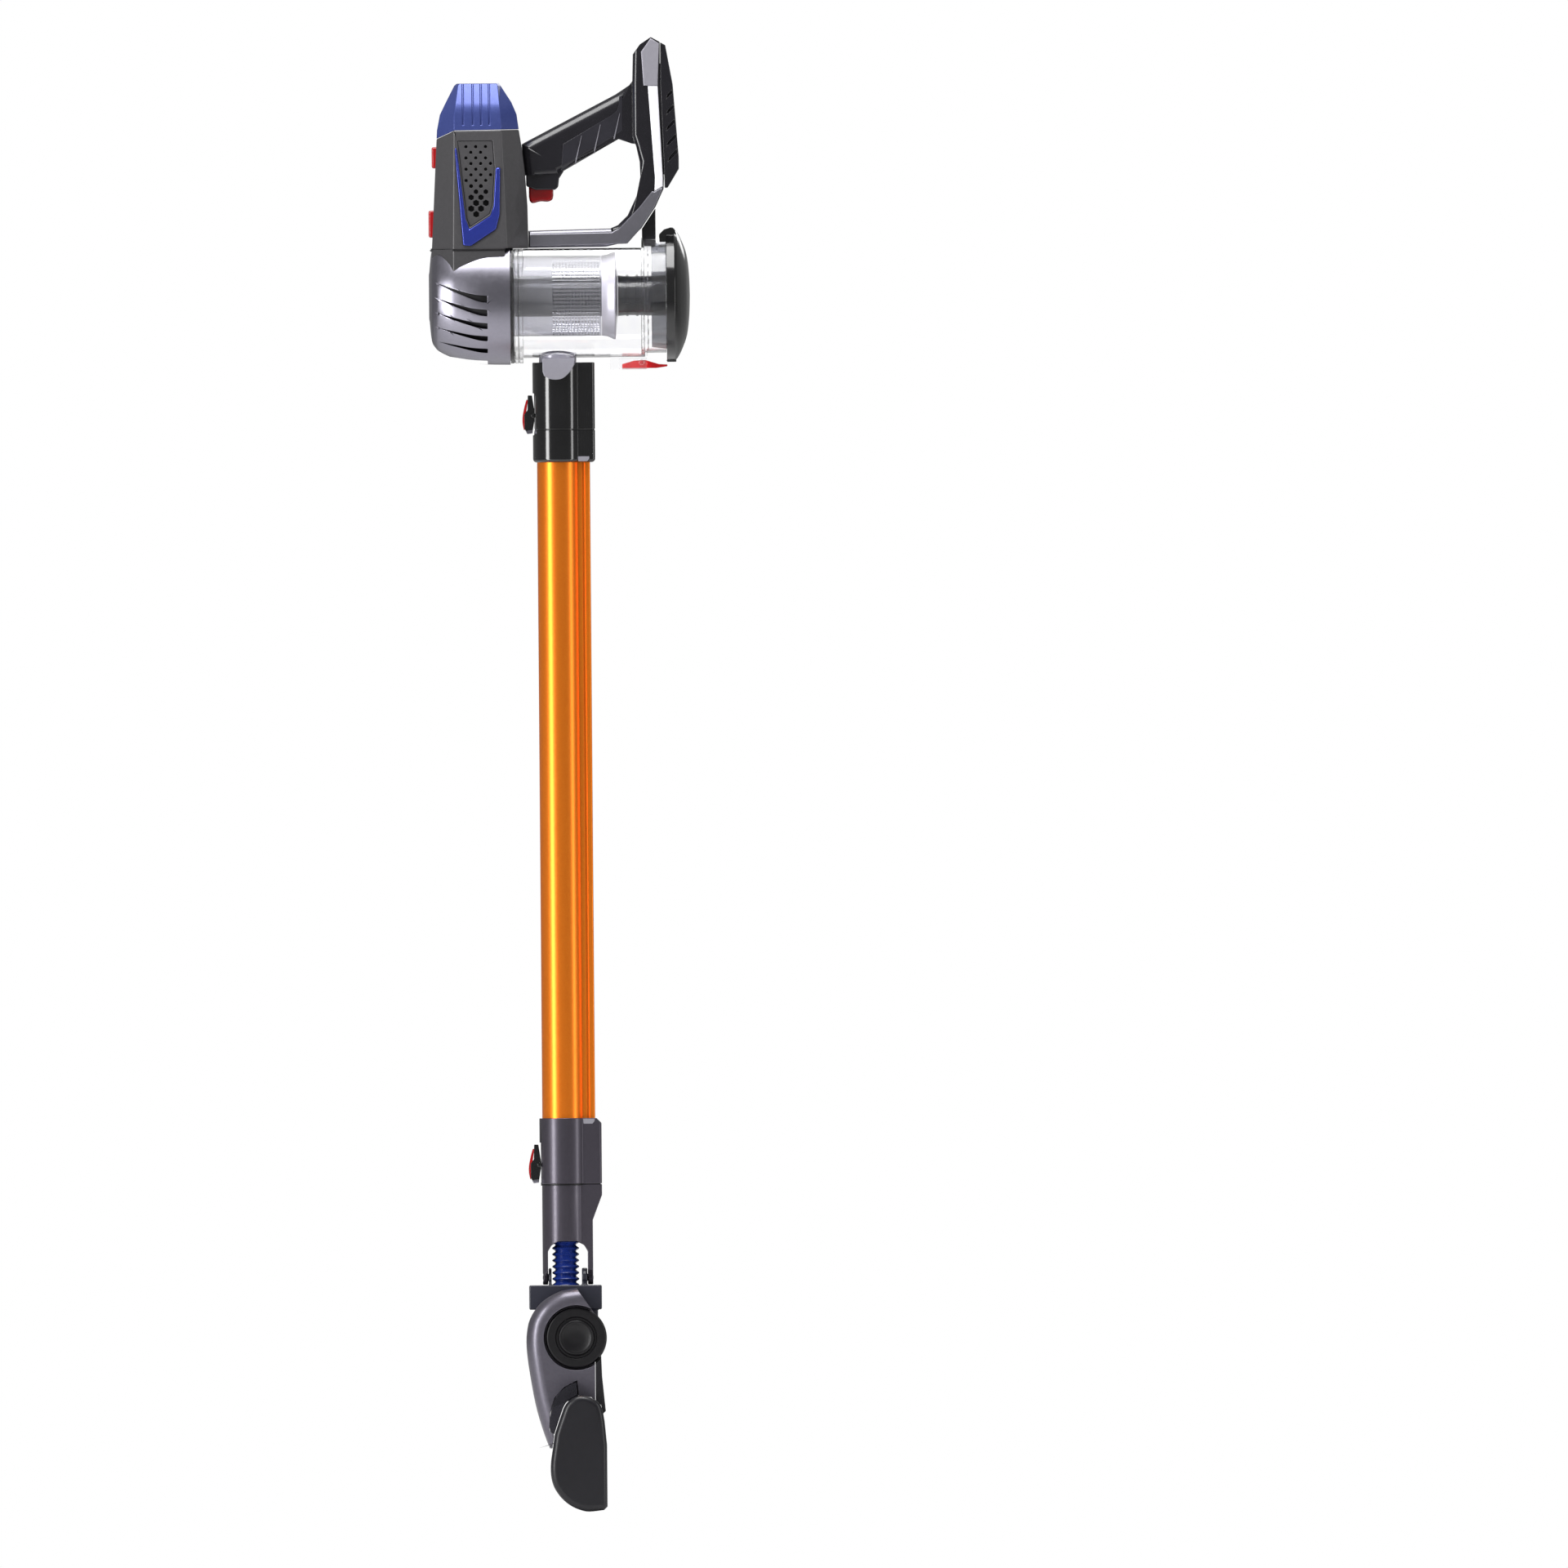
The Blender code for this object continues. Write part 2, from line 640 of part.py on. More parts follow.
def build_trigger():
    """Trigger, its housing under the grip and its return spring."""
    case = block((-20.8, 0.4), (-12, 12), (DECK_Z + 47.6, DECK_Z + 59))
    slot = LATCH_HALF + PLAY
    cut(case, block((-30, -1.4), (-slot, slot), (DECK_Z + 40, DECK_Z + 57)))
    pivot = (TRIGGER_PIVOT[0], DECK_Z + TRIGGER_PIVOT[1])
    cut(case, rod("Y", pivot, LATCH_PIN_R + PIN_PLAY, -9.6, 9.6, SMALL))
    node("trigger_housing", case, BLACK)
    outline = [(-22.4, 41), (-19.5, 36.8), (-4.5, 38.4), (-2.4, 42), (-2.4, 52), (-22.4, 52.6)]
    blade = prism("Y", -LATCH_HALF, LATCH_HALF, lift(outline, DECK_Z))
    pin = rod("Y", pivot, LATCH_PIN_R, -9.2, 9.2, SMALL)
    node("trigger", join(blade, pin), RED, (pivot[0], 0, pivot[1]))
    spring = turned("Z", (-7.5, 0), [
        (DECK_Z + 52.5, 1.6), (DECK_Z + 52.5, 2.4), (DECK_Z + 56.7, 2.4), (DECK_Z + 56.7, 1.6),
    ], SMALL)
    node("trigger_spring", spring, STEEL)


def build_battery():
    """Battery case that slides out of the back of the handle, with its cells."""
    case = prism("Y", -COLUMN_HALF, COLUMN_HALF, lift(PACK, DECK_Z))
    room = COLUMN_HALF - SHELL - PLAY
    tall = (DECK_Z + PACK_BOX[0], DECK_Z + PACK_BOX[1])
    join(case, block((PACK_LEFT, 88.6), (-room, room), tall))
    cell_room = room - 1.8
    cut(case, block((PACK_LEFT - 2, 93.4), (-cell_room, cell_room), (tall[0] + 2, tall[1] - 20)))
    node("battery_case", case, BLACK)
    radius = cell_room / 2 - GAP
    x = 92.8 - radius
    cells = rod("Z", (x, -radius + 0.2), radius, tall[0] + 3, tall[1] - 21, MIDDLE)
    join(cells, rod("Z", (x, radius - 0.2), radius, tall[0] + 3, tall[1] - 21, MIDDLE))
    node("cell_pack", cells, GREEN)


# ---------------------------------------------------------------- bin

LATCH_X = 68.6
LATCH_DROP = 4.2


def build_bin():
    """Clear bin with a flat top, its inlet neck and the pin of its door."""
    ring_left = BIN_RIGHT - END_RING_LENGTH
    bin_body = prism("X", BIN_LEFT + GAP, ring_left + 2, flat_round(BIN_R, FLAT))
    join(bin_body, rod("X", (0, AXIS_Z), END_RING_R, ring_left, BIN_RIGHT, LARGE))
    latch_z = AXIS_Z - BIN_R - LATCH_DROP
    cheek = LATCH_HALF + 1.7
    join(bin_body, block((43, LATCH_X + 4.4), (-cheek, cheek), (latch_z - 5.7, latch_z + 9)))
    for side in (-1, 1):
        y = sorted((side * (HINGE_HALF + PLAY), side * (HINGE_HALF + PLAY + HINGE_LUG)))
        z = AXIS_Z + END_RING_R * math.cos(math.asin(HINGE_HALF / END_RING_R)) - 4
        join(bin_body, block((BIN_RIGHT - 9, HINGE_X + 3), y, (z, HINGE_Z + 3)))
    inner = BIN_R - BIN_WALL
    cut(bin_body, prism("X", BIN_LEFT - 5, ring_left - 0.2, flat_round(inner, FLAT - BIN_WALL)))
    end_inner = END_RING_R - BIN_WALL
    cut(bin_body, prism("X", ring_left - 4, ring_left + 5, flat_round(end_inner, FLAT - BIN_WALL)))
    cut(bin_body, rod("X", (0, AXIS_Z), end_inner, ring_left + 2, BIN_RIGHT + 12, LARGE))
    slot = LATCH_HALF - 0.7
    cut(bin_body, block((50, LATCH_X + 8), (-slot, slot), (latch_z - 8, latch_z + 3.2)))
    cut(bin_body, rod("Y", (LATCH_X, latch_z), LATCH_PIN_R + PIN_PLAY, -7.4, 7.4, SMALL))
    cut(bin_body, rod("Y", (HINGE_X, HINGE_Z), HINGE_PIN_R + PIN_PLAY, -30, 30, SMALL))
    cut(bin_body, rod("Z", (0, 0), SPIGOT_R + GAP, COLLAR_TOP, AXIS_Z - 30, MIDDLE))
    node("dust_bin", bin_body, CLEAR)
    reach = HINGE_HALF + HINGE_LUG
    pin = rod("Y", (HINGE_X, HINGE_Z), HINGE_PIN_R, -reach, reach, SMALL)
    node("door_hinge_pin", pin, STEEL)
    neck = rod("Z", (0, 0), SPIGOT_R, COLLAR_TOP - SPIGOT_LENGTH, AXIS_Z - BIN_R + 3, MIDDLE)
    top = AXIS_Z - BIN_R - GAP
    wide = TUBE_R + COLLAR_WALL + PLAY + 2.6
    join(neck, block((-12.4, 14.3), (-wide, wide), (COLLAR_TOP + PLAY, top)))
    for side in (-1, 1):
        y = sorted((side * wide, side * (wide - 2)))
        join(neck, block((-12.4, 14.3), y, (COLLAR_TOP - 14, COLLAR_TOP + 1)))
    bore = SPIGOT_R - SPIGOT_WALL
    cut(neck, rod("Z", (0, 0), bore, COLLAR_TOP - SPIGOT_LENGTH - 5, AXIS_Z, MIDDLE))
    node("inlet_neck", neck, PALE_GREY)


def build_door():
    """Domed bin door with its skirt, hinge knuckle and catch, and the bin's latch lever."""
    face = BIN_RIGHT + GAP
    rim = BIN_RIGHT + 7
    skirt = END_RING_R - BIN_WALL - 0.8
    dome = [(rim + 2, DOOR_R - 2), (rim + 5.5, DOOR_R - 8.5), (rim + 9.8, 33), (rim + 11.8, 17)]
    profile = [(BIN_RIGHT + DOOR_DOME, 0)] + dome[::-1] + [
        (rim, DOOR_R), (face, DOOR_R), (face, skirt), (BIN_RIGHT - 12, skirt - 1.4),
        (BIN_RIGHT - 12, skirt - 3), (rim - 3, skirt - 2.6), (rim + 6.6, 33), (rim + 9, 17),
        (BIN_RIGHT + DOOR_DOME - 2.8, 0),
    ]
    door = turned("X", (0, AXIS_Z), profile, LARGE)
    near = HINGE_HALF
    far = HINGE_HALF + HINGE_LUG + 2 * PLAY
    for side in (-1, 1):
        y = sorted((side * near, side * far))
        cut(door, block((BIN_RIGHT - 4, HINGE_X + 3.6), y, (AXIS_Z + DOOR_R - 14, HINGE_Z + 9)))
    knuckle = rod("Y", (HINGE_X, HINGE_Z), 3.2, -near, near, SMALL)
    join(door, knuckle)
    lug = block((face, BIN_RIGHT + 8), (-6, 6), (AXIS_Z - DOOR_R - 1.2, AXIS_Z - DOOR_R + 4))
    join(door, lug)
    cut(door, rod("Y", (HINGE_X, HINGE_Z), HINGE_PIN_R + PIN_PLAY, -40, 40, SMALL))
    node("bin_door", door, BLACK, (HINGE_X, 0, HINGE_Z))
    latch_z = AXIS_Z - BIN_R - LATCH_DROP
    outline = [
        (LATCH_X - 16, -4.9), (LATCH_X + 12, -4.9), (LATCH_X + 21, -3.6), (LATCH_X + 21, -2),
        (LATCH_X + 14, -1.6), (LATCH_X + 3, 1.8), (LATCH_X - 6, 1.4), (LATCH_X - 16, -1.5),
    ]
    half = LATCH_HALF - 0.7 - PLAY
    lever = prism("Y", -half, half, lift(outline, latch_z))
    join(lever, rod("Y", (LATCH_X, latch_z), LATCH_PIN_R, -7, 7, SMALL))
    node("bin_latch", lever, RED, (LATCH_X, 0, latch_z))


# ---------------------------------------------------------------- wand

def keyhole(radius, nose, half, count=MIDDLE):
    """Plan of a round tube with a square nose towards +X."""
    start = math.asin(half / radius)
    sweep = 2 * math.pi - 2 * start
    turns = [start + sweep * k / count for k in range(count + 1)]
    arc = [(radius * math.cos(t), radius * math.sin(t)) for t in turns]
    return arc + [(nose, -half), (nose, half)]


def latch_rocker(name, pivot, finish):
    """Rocking latch with its own pin, on the front of a collar."""
    x, z = pivot
    outline = [
        (x - 4.3, z + 16.5), (x - 0.8, z + 16.5), (x + 1.3, z + 3), (x + 1.3, z - 3),
        (x - 0.6, z - 14), (x - 4.4, z - 14.8), (x - 7.2, z - 11), (x - 7.2, z + 1), (x - 4.6, z + 4.4),
    ]
    body = prism("Y", -LATCH_HALF, LATCH_HALF, outline)
    join(body, rod("Y", pivot, LATCH_PIN_R, -LATCH_HALF - 2.6, LATCH_HALF + 2.6, SMALL))
    node(name, body, finish, (x, 0, z))


def latch_seat(body, pivot):
    """Window and two ears for a rocking latch."""
    x, z = pivot
    near = LATCH_HALF + PLAY
    for side in (-1, 1):
        y = sorted((side * near, side * (near + 3)))
        join(body, block((x - 3.2, x + 3.6), y, (z - 5, z + 5)))
    cut(body, block((x - 9, x + 6.2), (-near, near), (z - 16, z + 18)))
    cut(body, rod("Y", pivot, LATCH_PIN_R + PIN_PLAY, -near - 4, near + 4, SMALL))


WAND_LATCH = (-(TUBE_R + COLLAR_WALL) + 0.3, COLLAR_LOW + 38.4)
HEAD_LATCH = (-(TUBE_R + COLLAR_WALL - 0.8) - 0.2, SEAM_Z + 16.0)


def tube_plan(grow):
    """Outer plan of the wand tube, grown outwards."""
    return keyhole(TUBE_R + grow, CHANNEL_X + grow, CHANNEL_HALF + grow)


def build_wand():
    """Anodised tube with its wiring channel, its collar and the collar's latch."""
    tube = prism("Z", TUBE_LOW, TUBE_TOP, tube_plan(0))
    cut(tube, rod("Z", (0, 0), TUBE_R - TUBE_WALL, TUBE_LOW - 5, TUBE_TOP + 5))
    inner = (TUBE_R + 0.5, CHANNEL_X - TUBE_WALL)
    half = CHANNEL_HALF - TUBE_WALL
    cut(tube, block(inner, (-half, half), (TUBE_LOW - 5, TUBE_TOP + 5)))
    node("wand_tube", tube, ORANGE)
    strip = block(
        (inner[0] + GAP, inner[1] - GAP), (-half + GAP, half - GAP), (TUBE_LOW + 2, TUBE_TOP - 2)
    )
    node("conductor_strip", strip, BLACK)
    nose = CHANNEL_X + COLLAR_NOSE
    collar = prism("Z", COLLAR_LOW, COLLAR_TOP, keyhole(TUBE_R + COLLAR_WALL, nose, 13))
    cut(collar, rod("Z", (0, 0), SPIGOT_R + PLAY, COLLAR_LOW + 10, COLLAR_TOP + 5))
    cut(collar, prism("Z", COLLAR_LOW - 5, TUBE_TOP + GAP, tube_plan(GAP)))
    latch_seat(collar, WAND_LATCH)
    node("wand_collar", collar, BLACK)
    latch_rocker("wand_latch", WAND_LATCH, SILVER)


# ---------------------------------------------------------------- neck

def build_neck():
    """Socket, latch, fork and bellows over the floor head."""
    nose = CHANNEL_X + 5.1
    radius = TUBE_R + COLLAR_WALL - 0.8
    socket = prism("Z", SEAM_Z + GAP, SOCKET_TOP, keyhole(radius, nose, 12.6))
    cut(socket, rod("Z", (0, 0), TUBE_R - 2.5, SEAM_Z - 5, SOCKET_TOP + 5))
    cut(socket, prism("Z", TUBE_LOW - PLAY, SOCKET_TOP + 5, tube_plan(PLAY)))
    latch_seat(socket, HEAD_LATCH)
    node("neck_socket", socket, GREY_BODY)
    latch_rocker("head_latch", HEAD_LATCH, SILVER)
    right = FORK_R + 5
    foot = LEAN_Z - 5.9
    side = [
        (-FORK_R - 1, SEAM_Z + 2), (nose, SEAM_Z + 2), (nose, SEAM_Z - 9), (right, SEAM_Z - 29.4),
        (right, foot), (-FORK_R - 1, foot),
    ]
    fork = prism("Z", LEAN_Z - 15, SEAM_Z, keyhole(FORK_R, nose, 12))
    keep(fork, prism("Y", -30, 30, side))
    taper = [(5.8 * math.cos(t), LEAN_Z + 5.8 * math.sin(t)) for t in [-math.pi * k / 8 for k in range(9)]]
    taper += [(-20, LEAN_Z + 14), (-20, SEAM_Z + 5), (20, SEAM_Z + 5), (20, LEAN_Z + 14)]
    keep(fork, prism("X", -60, 60, taper))
    window_left = -FORK_R + LEG_THICK
    window_right = right - LEG_THICK
    top = LEAN_Z + 29.4
    arch = [
        (window_left, LEAN_Z - 20), (window_right, LEAN_Z - 20), (window_right, top - 8),
        (window_right - 3, top - 3), (window_right - 9, top), (window_left + 9, top),
        (window_left + 3, top - 3), (window_left, top - 8),
    ]
    cut(fork, prism("Y", -30, 30, arch))
    cut(fork, rod("Z", (0, 0), FORK_R - 3.4, LEAN_Z + 20, SEAM_Z + 5))
    cut(fork, rod("X", (0, LEAN_Z), 2.4 + PIN_PLAY, -40, 40, SMALL))
    node("neck_fork", fork, GREY_BODY)
    low = LEAN_Z - 8.6
    folds = 8
    pitch = 5.0
    outer = []
    for k in range(folds):
        outer += [(low + pitch * k, BELLOWS_R - 2.4), (low + pitch * (k + 0.5), BELLOWS_R)]
    outer.append((low + pitch * folds, BELLOWS_R - 2.4))
    inner = [(station, radius - 1.4) for station, radius in outer]
    hose = turned("Z", (BELLOWS_X, 0), inner[::-1] + outer, 12)
    node("bellows", hose, BLUE)


def build_knuckle():
    """Knuckle between the neck's lean and the head's pitch, with its ears and trunnions."""
    top = LEAN_Z - 6.2
    knuckle = block((-29.3, 30), (-KNUCKLE_HALF, KNUCKLE_HALF), (top - 20, top))
    barrel = rod("Y", (AXLE_X, AXLE_Z), BARREL_R, -KNUCKLE_HALF, KNUCKLE_HALF, MIDDLE)
    half = KNUCKLE_HALF - 2
    join(knuckle, barrel, block((-10, AXLE_X + 18), (-half, half), (AXLE_Z, top - 5)))
    leg_left = -FORK_R + LEG_THICK
    leg_right = FORK_R + 5 - LEG_THICK
    hole = BELLOWS_R + PLAY
    for near, far, pin in (
        (leg_left + PLAY, BELLOWS_X - hole, -FORK_R),
        (BELLOWS_X + hole + 1.5, leg_right - PLAY, FORK_R + 5),
    ):
        ear = prism("X", near, far, circle((0, LEAN_Z), 8, SMALL))
        foot = block((near, far), (-7.4, 7.4), (top - 4, LEAN_Z))
        outer = sorted((pin, near if pin < 0 else far - 0.2))
        shaft = rod("X", (0, LEAN_Z), 2.4, outer[0], outer[1] + 0.2, SMALL)
        join(knuckle, ear, foot, shaft)
    cut(knuckle, rod("Z", (BELLOWS_X, 0), hole, LEAN_Z - 8.9, LEAN_Z + 30))
    cut(knuckle, rod("Z", (BELLOWS_X, 0), 8.5, AXLE_Z + 5, LEAN_Z))
    cut(knuckle, rod("Z", (AXLE_X, 0), 8.5, AXLE_Z - 40, AXLE_Z + 14))
    cut(knuckle, rod("Y", (AXLE_X, AXLE_Z), AXLE_R + PIN_PLAY, -60, 60, SMALL))
    node("knuckle", knuckle, GREY_BODY, (BELLOWS_X, 0, LEAN_Z))


# ---------------------------------------------------------------- floor head

HOOD = [
    (-11.2, 50.7), (-12.7, 40), (-12.7, 30.1), (-10.8, 21.5), (-6.8, 14.4), (-1.8, 8.8), (4.2, 4.4),
    (11, 1.4), (18.3, 0), (30.5, 1.2), (SOLE_X, 4), (SOLE_X, 54), (31.4, 74.1), (28.4, 86.7),
    (20.6, 93.1), (9.6, 94.7), (0.2, 88.3), (-4.6, 77.3), (-9.4, 63.1),
]
REAR_TOP = [
    (29.7, 16), (18, 28), (9.5, 40.7), (-2, 38.8), (-11.7, 34.4), (-19, 29.5), (-24.4, 23.3),
    (-28.4, 16.5), (-30.7, 9.3), (-31.9, -3.3),
]
REAR_LOW = [
    (-30.3, 120), (-24.9, 88.3), (-18.8, 66.3), (-13.6, 52), (0, 50), (32.5, 82), (29.7, 110),
]
LENS = [
    (8.5, 106), (-1, 101), (-8.4, 93), (-12.6, 80.5), (-13.4, 66.7), (-9.8, 63.1), (-5, 77.5),
    (-0.1, 88.8), (9.5, 95.4),
]


def build_rear():
    """Cover and base of the head behind the brush, with the slot for the knuckle."""
    outline = lift(REAR_TOP, AXLE_Z) + REAR_LOW
    rear = prism("Y", -REAR_HALF, REAR_HALF, outline)
    cut(rear, prism("Y", -HEAD_HALF, HEAD_HALF, inset(HOOD, -GAP)))
    cut(rear, prism("Y", -HEAD_HALF, HEAD_HALF, inset(LENS, -GAP)))
    slot = KNUCKLE_HALF + 3.5
    cut(rear, block((-60, 60), (-slot, slot), (AXLE_Z - BARREL_R - 3, AXLE_Z + 60)))
    cut(rear, block((-60, -14), (-slot, slot), (AXLE_Z - 39.5, AXLE_Z + 60)))
    for side in (-1, 1):
        y = sorted((side * (WHEEL_INNER - 0.7), side * (REAR_HALF + 10)))
        cut(rear, rod("Y", (AXLE_X, AXLE_Z), WHEEL_R + 1.5, *y, LARGE))
    cut(rear, rod("Y", (AXLE_X, AXLE_Z), AXLE_R + GAP, -80, 80, SMALL))
    part = 24.0
    cover = cut(twin(rear), block((part, 60), (-100, 100), (0, 300)))
    base = cut(rear, block((-60, part + GAP), (-100, 100), (0, 300)))
    hollow = [(-27.4, 102), (-22.6, 87), (-18, 76), (-16.4, 81.5), (-11.2, 95.5), (-4, 102)]
    room = REAR_HALF - SHELL
    cut(cover, prism("Y", -room, room, hollow))
    cut(cover, block((9.6, 40), (-14, 14), (AXLE_Z - 60, AXLE_Z)))
    node("head_cover", cover, GREY_BODY)
    node("head_base", base, GREY_BODY)
    reach = WHEEL_INNER + WHEEL_WIDTH - 2
    node("head_axle", rod("Y", (AXLE_X, AXLE_Z), AXLE_R, -reach, reach, SMALL), STEEL)


def build_hood():
    """Brush hood, its end caps and its headlamp lens."""
    half = HEAD_HALF - END_CAP - GAP
    hood = prism("Y", -half, half, inset(HOOD, 0.6))
    roll = (ROLL_X, ROLL_Z)
    cut(hood, rod("Y", roll, ROLL_R + 1.1, -HEAD_HALF, HEAD_HALF, LARGE))
    mouth = half - 6
    cut(hood, block((ROLL_X + 6, 60), (-mouth, mouth), (ROLL_Z - 19, ROLL_Z + 19)))
    cut(hood, rod("Y", (DRIVE_X, DRIVE_Z), DRIVE_R + 1, 28, HEAD_HALF, MIDDLE))
    cut(hood, block((DRIVE_X - 12, DRIVE_X + 12), (half - 16, HEAD_HALF), (ROLL_Z, DRIVE_Z)))
    cut(hood, block((2, 23), (-14, 14), (ROLL_Z + 10, DRIVE_Z + 40)))
    node("brush_hood", hood, BLACK)
    for side, word in ((-1, "left"), (1, "right")):
        y = sorted((side * HEAD_HALF, side * (HEAD_HALF - END_CAP)))
        cap = prism("Y", *y, HOOD)
        hole = sorted((side * (half - 5), side * (HEAD_HALF - 2.4)))
        cut(cap, rod("Y", roll, 3 + PIN_PLAY, *hole, SMALL))
        node("end_cap_" + word, cap, BLACK)
    lens_half = HEAD_HALF - 25
    node("led_lens", prism("Y", -lens_half, lens_half, LENS), SMOKE)


def build_wheels():
    """Two wheels on the head's axle."""
    near = WHEEL_INNER
    far = WHEEL_INNER + WHEEL_WIDTH
    bore = AXLE_R + PIN_PLAY
    for side, word in ((-1, "left"), (1, "right")):
        profile = [
            (far - 1.5, 0), (far - 1.5, bore), (near, bore), (near, WHEEL_R - 1), (near + 1, WHEEL_R),
            (far - 1, WHEEL_R), (far, WHEEL_R - 1), (far, 14.5), (far + 1, 14), (far + 1, 0),
        ]
        profile = [(side * station, radius) for station, radius in profile]
        wheel = turned("Y", (AXLE_X, AXLE_Z), profile, MIDDLE)
        node("wheel_" + word, wheel, RUBBER, (AXLE_X, 0, AXLE_Z))


def build_brush():
    """Brush roll with four twisted rows, its motor, pulley and belt."""
    half = HEAD_HALF - END_CAP - GAP
    belt_low = half - 12
    rows = 4
    steps = 12
    rings = []
    for step in range(steps + 1):
        share = step / steps
        y = -half + 3 + (belt_low - 3 + half - 3) * share
        outline = []
        for row in range(rows):
            turn = 2 * math.pi * (row / rows + 0.35 * share)
            for angle, radius in (
                (-0.5, ROLL_CORE), (-0.13, ROLL_CORE), (-0.09, ROLL_R), (0.09, ROLL_R),
                (0.13, ROLL_CORE), (0.5, ROLL_CORE),
            ):
                outline.append((
                    ROLL_X + radius * math.cos(turn + angle), ROLL_Z + radius * math.sin(turn + angle),
                ))
        rings.append([spot("Y", y, x, z) for x, z in outline])
    roll = loft(rings)
    join(roll, rod("Y", (ROLL_X, ROLL_Z), ROLL_PULLEY_R, belt_low - 4, half - 1, MIDDLE))
    join(roll, rod("Y", (ROLL_X, ROLL_Z), 3, -HEAD_HALF + 3, HEAD_HALF - 3, SMALL))
    node("brush_roll", roll, BLUE, (ROLL_X, 0, ROLL_Z))
    motor = rod("Y", (DRIVE_X, DRIVE_Z), DRIVE_R, 30, belt_low - 12, MIDDLE)
    node("brush_motor", motor, STEEL)
    pulley = rod("Y", (DRIVE_X, DRIVE_Z), PULLEY_R, belt_low - 2, half - 1, MIDDLE)
    join(pulley, rod("Y", (DRIVE_X, DRIVE_Z), 2, belt_low - 11, belt_low, SMALL))
    node("motor_pulley", pulley, STEEL, (DRIVE_X, 0, DRIVE_Z))
    near, far = PULLEY_R + GAP, ROLL_PULLEY_R + GAP
    y = (half - 9, half - 9 + BELT_WIDTH)
    belt = prism("Y", *y, belt_outline(near + BELT_THICK, far + BELT_THICK))
    cut(belt, prism("Y", y[0] - 5, y[1] + 5, belt_outline(near, far)))
    node("drive_belt", belt, RUBBER)


def belt_outline(near, far):
    """Loop round the motor's pulley and the roll's."""
    drive = Vector((DRIVE_X, DRIVE_Z))
    roll = Vector((ROLL_X, ROLL_Z))
    span = (drive - roll).length
    lean = math.asin((near - far) / span)
    start = math.atan2(drive.y - roll.y, drive.x - roll.x) - math.pi / 2
    count = 10
    points = []
    for k in range(count + 1):
        turn = start + lean + (math.pi - 2 * lean) * k / count
        points.append((drive.x + near * math.cos(turn), drive.y + near * math.sin(turn)))
    for k in range(count + 1):
        turn = start + math.pi - lean + (math.pi + 2 * lean) * k / count
        points.append((roll.x + far * math.cos(turn), roll.y + far * math.sin(turn)))
    return points


def main():
    """Clears the scene and builds the vacuum from the top down."""
    for old in list(bpy.data.objects):
        bpy.data.objects.remove(old)
    build_housing()
    build_vents()
    build_drum()
    build_cyclone()
    build_motor()
    build_cap()
    build_handle()
    build_trigger()
    build_battery()
    build_bin()
    build_door()
    build_wand()
    build_neck()
    build_knuckle()
    build_rear()
    build_hood()
    build_wheels()
    build_brush()


main()
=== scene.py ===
"""Looks of a cordless stick vacuum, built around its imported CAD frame.

Sizes are in millimetres: +Z runs up the wand, +X points to the back of the handle, and the bore
of the wand stands at X = 0, Y = 0. They are turned into metres when a point is placed.
"""
import logging
import math
from dataclasses import dataclass, field
from enum import Enum
from typing import Any, Callable, Iterable, Sequence

import bmesh
import bpy
from mathutils import Matrix, Vector


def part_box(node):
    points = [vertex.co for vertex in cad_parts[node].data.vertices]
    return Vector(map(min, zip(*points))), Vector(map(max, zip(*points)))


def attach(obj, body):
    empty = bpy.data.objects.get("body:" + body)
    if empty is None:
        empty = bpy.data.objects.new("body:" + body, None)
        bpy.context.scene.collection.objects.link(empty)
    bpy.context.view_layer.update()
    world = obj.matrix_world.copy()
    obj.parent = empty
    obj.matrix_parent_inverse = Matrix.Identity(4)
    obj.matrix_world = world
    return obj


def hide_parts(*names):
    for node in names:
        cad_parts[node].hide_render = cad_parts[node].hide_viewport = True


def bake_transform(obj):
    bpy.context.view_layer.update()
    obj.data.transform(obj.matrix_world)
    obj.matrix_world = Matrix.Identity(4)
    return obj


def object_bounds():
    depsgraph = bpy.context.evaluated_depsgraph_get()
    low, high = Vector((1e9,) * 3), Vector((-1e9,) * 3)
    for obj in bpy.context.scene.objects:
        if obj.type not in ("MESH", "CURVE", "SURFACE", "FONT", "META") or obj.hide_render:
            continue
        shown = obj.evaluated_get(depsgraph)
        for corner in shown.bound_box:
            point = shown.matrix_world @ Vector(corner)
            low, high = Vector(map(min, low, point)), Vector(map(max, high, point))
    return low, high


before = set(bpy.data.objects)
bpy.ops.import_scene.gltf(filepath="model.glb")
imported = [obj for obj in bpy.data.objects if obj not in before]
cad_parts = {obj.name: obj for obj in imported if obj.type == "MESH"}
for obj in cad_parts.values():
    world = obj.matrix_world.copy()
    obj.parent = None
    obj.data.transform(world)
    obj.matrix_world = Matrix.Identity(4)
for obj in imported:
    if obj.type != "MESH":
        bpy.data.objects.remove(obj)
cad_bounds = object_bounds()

MM = 0.001
WELD = MM / 100
LOG = logging.getLogger("stick_vacuum")

Pair = tuple[float, float]
Outline = list[Pair]
Piece = bpy.types.Object
Test = Callable[[Vector, Vector], bool]


class Axis(Enum):
    """Direction that a shape runs along."""

    X = (1, 0, 0)
    Y = (0, 1, 0)
    Z = (0, 0, 1)


class Pick(Enum):
    """Kind of mesh element that is selected."""

    FACES = "FACE"
    EDGES = "EDGE"


# ---------------------------------------------------------------- shapes

